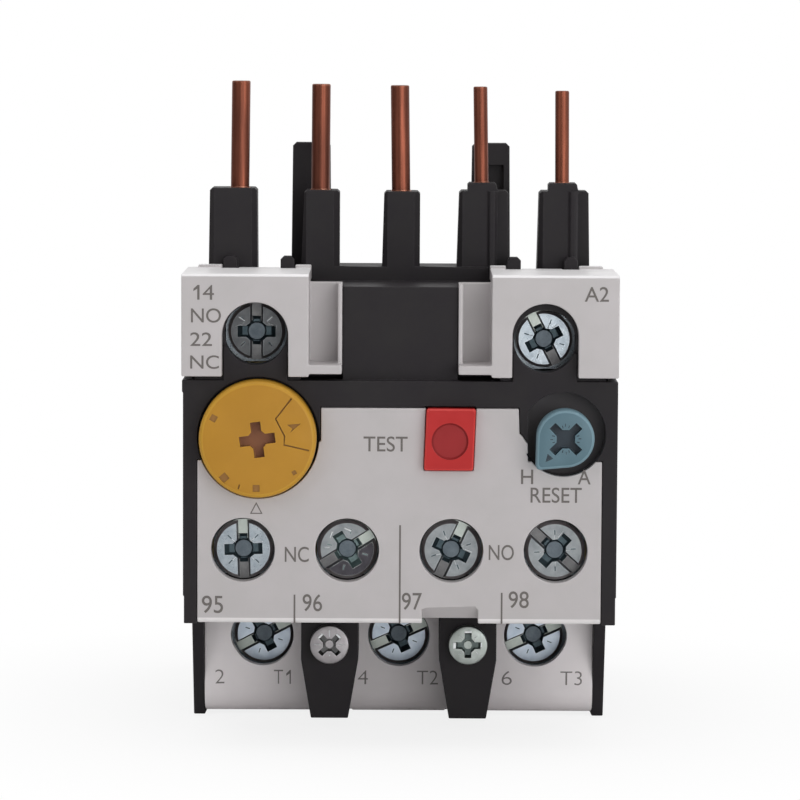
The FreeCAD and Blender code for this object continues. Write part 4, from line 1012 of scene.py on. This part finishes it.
# Lettering and printed lines
INK_HEIGHT = 0.03
INK_SUNK = 0.012


def raised_ink(name, shape, x, depth, z, finish):
    made = bmesh.ops.extrude_face_region(shape, geom=shape.faces[:], use_keep_orig=True)
    moved = [item for item in made["geom"] if isinstance(item, bmesh.types.BMVert)]
    bmesh.ops.translate(shape, verts=moved, vec=(0, 0, INK_HEIGHT * MM))
    set_on_front(shape, x, depth + INK_SUNK, z)
    keep_piece(name, shape, [finish], "housing")


def lettering(name, words, left, right, low, high, depth, finish, weight=0.004):
    curve = bpy.data.curves.new(name, "FONT")
    curve.body = words
    curve.offset = weight
    holder = bpy.data.objects.new(name + "_curve", curve)
    bpy.context.scene.collection.objects.link(holder)
    bpy.context.view_layer.update()
    flat = bpy.data.meshes.new_from_object(holder)
    bpy.data.objects.remove(holder)
    bpy.data.curves.remove(curve)
    shape = bmesh.new()
    shape.from_mesh(flat)
    bpy.data.meshes.remove(flat)
    xs = [vert.co.x for vert in shape.verts]
    ys = [vert.co.y for vert in shape.verts]
    size = Vector(((right - left) / (max(xs) - min(xs)), (high - low) / (max(ys) - min(ys)), 1))
    bmesh.ops.translate(shape, verts=shape.verts, vec=(-min(xs), -min(ys), 0))
    bmesh.ops.scale(shape, verts=shape.verts, vec=size * MM)
    raised_ink(name, shape, left, depth, low, finish)


def figure_one(name, left, right, low, high, depth, finish, stem=0.24):
    flag_top = high - 0.26 * (high - low)
    flag_foot = high - 0.42 * (high - low)
    start = right - stem
    outline = [(start, low), (right, low), (right, high), (start + 0.04, high)]
    outline += [(left, flag_top), (left, flag_foot), (start, flag_top)]
    shape = bmesh.new()
    edges = ring(shape, outline)
    bmesh.ops.triangle_fill(shape, use_beauty=True, edges=edges, normal=(0, 0, 1))
    raised_ink(name, shape, 0, depth, 0, finish)


def block(left, right, front, back, low, high):
    shape = bmesh.new()
    size = Vector((right - left, back - front, high - low)) * MM
    centre = at((left + right) / 2, (front + back) / 2, (low + high) / 2)
    bmesh.ops.create_cube(shape, size=1.0)
    bmesh.ops.scale(shape, verts=shape.verts, vec=size)
    bmesh.ops.translate(shape, verts=shape.verts, vec=centre)
    return shape


def make_markings():
    cover = front_of("upper_cover_left")
    panel = 0.0
    shroud = front_of("terminal_shroud")
    figure_one("mark_1_of_14", -21.25, -20.62, 47.02, 48.54, cover, DARK_INK)
    lettering("mark_4_of_14", "4", -20.30, -19.14, 47.02, 48.54, cover, DARK_INK, 0.0)
    for name, words, left, right, low, high, face in (
        ("mark_no_left", "NO", -21.50, -18.42, 44.66, 46.14, cover),
        ("mark_22", "22", -21.58, -19.34, 42.26, 43.66, cover),
        ("mark_nc_left", "NC", -21.58, -18.62, 39.90, 41.30, cover),
        ("mark_a2", "A2", 18.90, 21.38, 47.02, 48.54, cover),
        ("mark_test", "TEST", -3.74, 0.81, 31.34, 32.92, panel),
        ("mark_h", "H", 12.54, 13.80, 28.04, 29.56, panel),
        ("mark_a", "A", 18.40, 19.74, 28.04, 29.56, panel),
        ("mark_reset", "RESET", 13.54, 18.83, 26.10, 27.70, panel),
        ("mark_nc", "NC", -11.84, -9.35, 19.80, 21.40, panel),
        ("mark_no", "NO", 9.26, 11.86, 20.10, 21.70, panel),
        ("mark_95", "95", -20.42, -18.22, 14.42, 16.25, panel),
        ("mark_96", "96", -9.98, -7.96, 14.66, 16.46, panel),
        ("mark_97", "97", 0.30, 2.38, 14.86, 16.66, panel),
        ("mark_98", "98", 11.36, 13.45, 15.10, 16.86, panel),
    ):
        lettering(name, words, left, right, low, high, face, DARK_INK)
    for name, words, left, right in (
        ("mark_2", "2", -20.0, -19.0),
        ("mark_t1", "T", -13.6, -12.6),
        ("mark_4", "4", -4.45, -3.35),
        ("mark_t2", "T2", 2.0, 4.3),
        ("mark_6", "6", 11.25, 12.35),
        ("mark_t3", "T3", 17.65, 20.0),
    ):
        lettering(name, words, left, right, 3.65, 5.18, shroud, PALE_INK, -0.012)
    figure_one("mark_1_of_t1", -12.25, -11.75, 3.65, 5.18, shroud, PALE_INK, 0.14)
    for name, x, low, high in (
        ("line_96", -10.82, 13.45, 16.4),
        ("line_97", 0.08, 13.45, 23.7),
        ("line_98", 10.64, 13.45, 16.7),
    ):
        shape = block(x - 0.09, x + 0.09, -0.02, 0.02, low, high)
        keep_piece(name, shape, [DARK_INK], "housing")
    triangle = bmesh.new()
    outer = [(-0.66, 0), (0.66, 0), (0, 1.24)]
    inner = [(-0.47, 0.11), (0.47, 0.11), (0, 1.0)]
    edges = ring(triangle, outer) + ring(triangle, inner)
    bmesh.ops.triangle_fill(triangle, use_beauty=True, edges=edges, normal=(0, 0, 1))
    raised_ink("dial_pointer", triangle, -14.8, panel, 24.8, DARK_INK)


# Connection pins, each leaning a little as the real ones do
def make_pins():
    for name, lean in (
        ("main_pin_1", 0.12),
        ("main_pin_2", 0.06),
        ("main_pin_3", -0.17),
        ("control_pin_left", -0.20),
        ("control_pin_right", -0.08),
    ):
        shape = merged_copy(name)
        top = max(vert.co.z for vert in shape.verts)
        rim = [e for e in shape.edges if all(abs(v.co.z - top) < 1e-6 for v in e.verts)]
        soften(shape, rim, 0.14)
        free = 11 * MM
        for vert in shape.verts:
            above = vert.co.z - (top - free)
            if above > 0:
                vert.co.x += lean * MM * above / free
        piece = keep_piece(name + "_drawn", shape, [FINISH["copper"]], "housing")
        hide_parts(name)
        keep_large_faces_flat(piece)


def dress_cad_nodes():
    for material in frame["record"]["materials"]:
        slot = material["slot"]
        for cad_node in frame["nodes"].values():
            used = cad_node.data.materials
            if used and used[0] and used[0].name.split(".")[0] == slot:
                cad_node.material_slots[0].material = FINISH[slot]


# The flange is thinner than its solid, the shroud reaches out to it, and its holes sit a little higher
def thin_flanges(shape):
    inner_face = 21.15
    top = 13.5
    rear = 9.3
    for vert in shape.verts:
        x = abs(vert.co.x) / MM
        if 20.4 < x < 20.8 and vert.co.z < top * MM and vert.co.y < rear * MM:
            vert.co.x = math.copysign(inner_face * MM, vert.co.x)


def fit_shroud(shape):
    hole_rise = 0.45
    reach = 0.85
    for name in ("main_screw_1", "main_screw_2", "main_screw_3"):
        x, z = middle(name)
        for vert in shape.verts:
            if 3.25 < math.hypot(vert.co.x / MM - x, vert.co.z / MM - z) < 3.45:
                vert.co.z += hole_rise * MM
    for vert in shape.verts:
        share = min(max((abs(vert.co.x) / MM - 17.7) / 2.6, 0.0), 1.0)
        vert.co.x += math.copysign(reach * share * MM, vert.co.x)


# The button's notch in the panel leans like the button, so each side is moved more above than below
def fit_panel(shape):
    notch_foot = 29.3
    notch_middle = 32
    for vert in shape.verts:
        x = vert.co.x / MM
        if vert.co.z < notch_foot * MM:
            continue
        for side, above, below in ((2.47, 2.68, 2.46), (7.79, 7.88, 7.64)):
            if abs(x - side) < 0.05:
                vert.co.x = (above if vert.co.z > notch_middle * MM else below) * MM
    round_panel_foot(shape)


# The housing's sides below the covers reach further out than the solid's, and the knob's pocket takes a
# paler black, painted light against the shade inside it
def fit_front_housing(shape):
    cover_foot = 37.5
    knob_x = 17.0
    knob_z = 33.2
    for vert in shape.verts:
        x = abs(vert.co.x) / MM
        right = vert.co.x > 0
        if vert.co.z > cover_foot * MM or x < 22.05:
            continue
        if x < 22.2:
            vert.co.x = (22.42 if right else -22.3) * MM
        elif x < 22.4:
            vert.co.x = (22.5 if right else -22.4) * MM
    # Faces in the knob's pocket take the paler black: painted light
    for face in shape.faces:
        centre = face.calc_center_median() / MM
        in_pocket = math.hypot(centre.x - knob_x, centre.z - knob_z) < 4.4
        if in_pocket and -27.2 < centre.y < -24.0:
            face.material_index = 1


def front_edges(shape, height):
    front = min(vert.co.y for vert in shape.verts)
    near = 0.01 * MM
    chosen = []
    for edge in shape.edges:
        if all(vert.co.y - front < near and abs(vert.co.z - height) < near for vert in edge.verts):
            chosen.append(edge)
    return chosen


def round_cover_top(shape):
    front = min(vert.co.y for vert in shape.verts)
    high = max(vert.co.z for vert in shape.verts if vert.co.y - front < 0.01 * MM)
    soften(shape, front_edges(shape, high), 0.45, 4)
    shape.normal_update()
    # Upward faces along the rounded top take the near-white finish: painted light from above
    for face in shape.faces:
        if face.normal.z > 0.4 and face.calc_center_median().z > high - 0.5 * MM:
            face.material_index = 1


def round_panel_foot(shape):
    low = min(vert.co.z for vert in shape.verts)
    soften(shape, front_edges(shape, low), 0.55, 4)
    shape.normal_update()
    # Downward-front faces of the rounded foot take the paler grey: painted light from below
    for face in shape.faces:
        near_foot = face.calc_center_median().z - low < 0.56 * MM
        if near_foot and face.normal.y < -0.1 and face.normal.z < -0.1:
            face.material_index = 1


def make_mouldings():
    housing = [FINISH["black_plastic"], BLACK_POCKET_PAINTED_LIGHT]
    panel = [FINISH["grey_plastic"], PANEL_FOOT_PAINTED_LIGHT]
    covers = [FINISH["white_plastic"], COVER_TOP_PAINTED_LIGHT]
    moulding("front_housing", 0.10, fit_front_housing, housing)
    moulding("rear_housing", 0.12, thin_flanges, [FINISH["black_plastic"]])
    moulding("front_panel", 0.12, fit_panel, panel)
    moulding("upper_cover_left", 0.14, round_cover_top, covers)
    moulding("upper_cover_right", 0.14, round_cover_top, covers)
    moulding("terminal_shroud", 0.12, fit_shroud, [SHROUD_PAINTED_LIGHT])


set_camera()
set_studio()
make_mouldings()
make_pins()
make_terminal_screws()
make_housing_screws()
make_dial()
make_test_button()
make_reset_knob()
make_markings()
dress_cad_nodes()
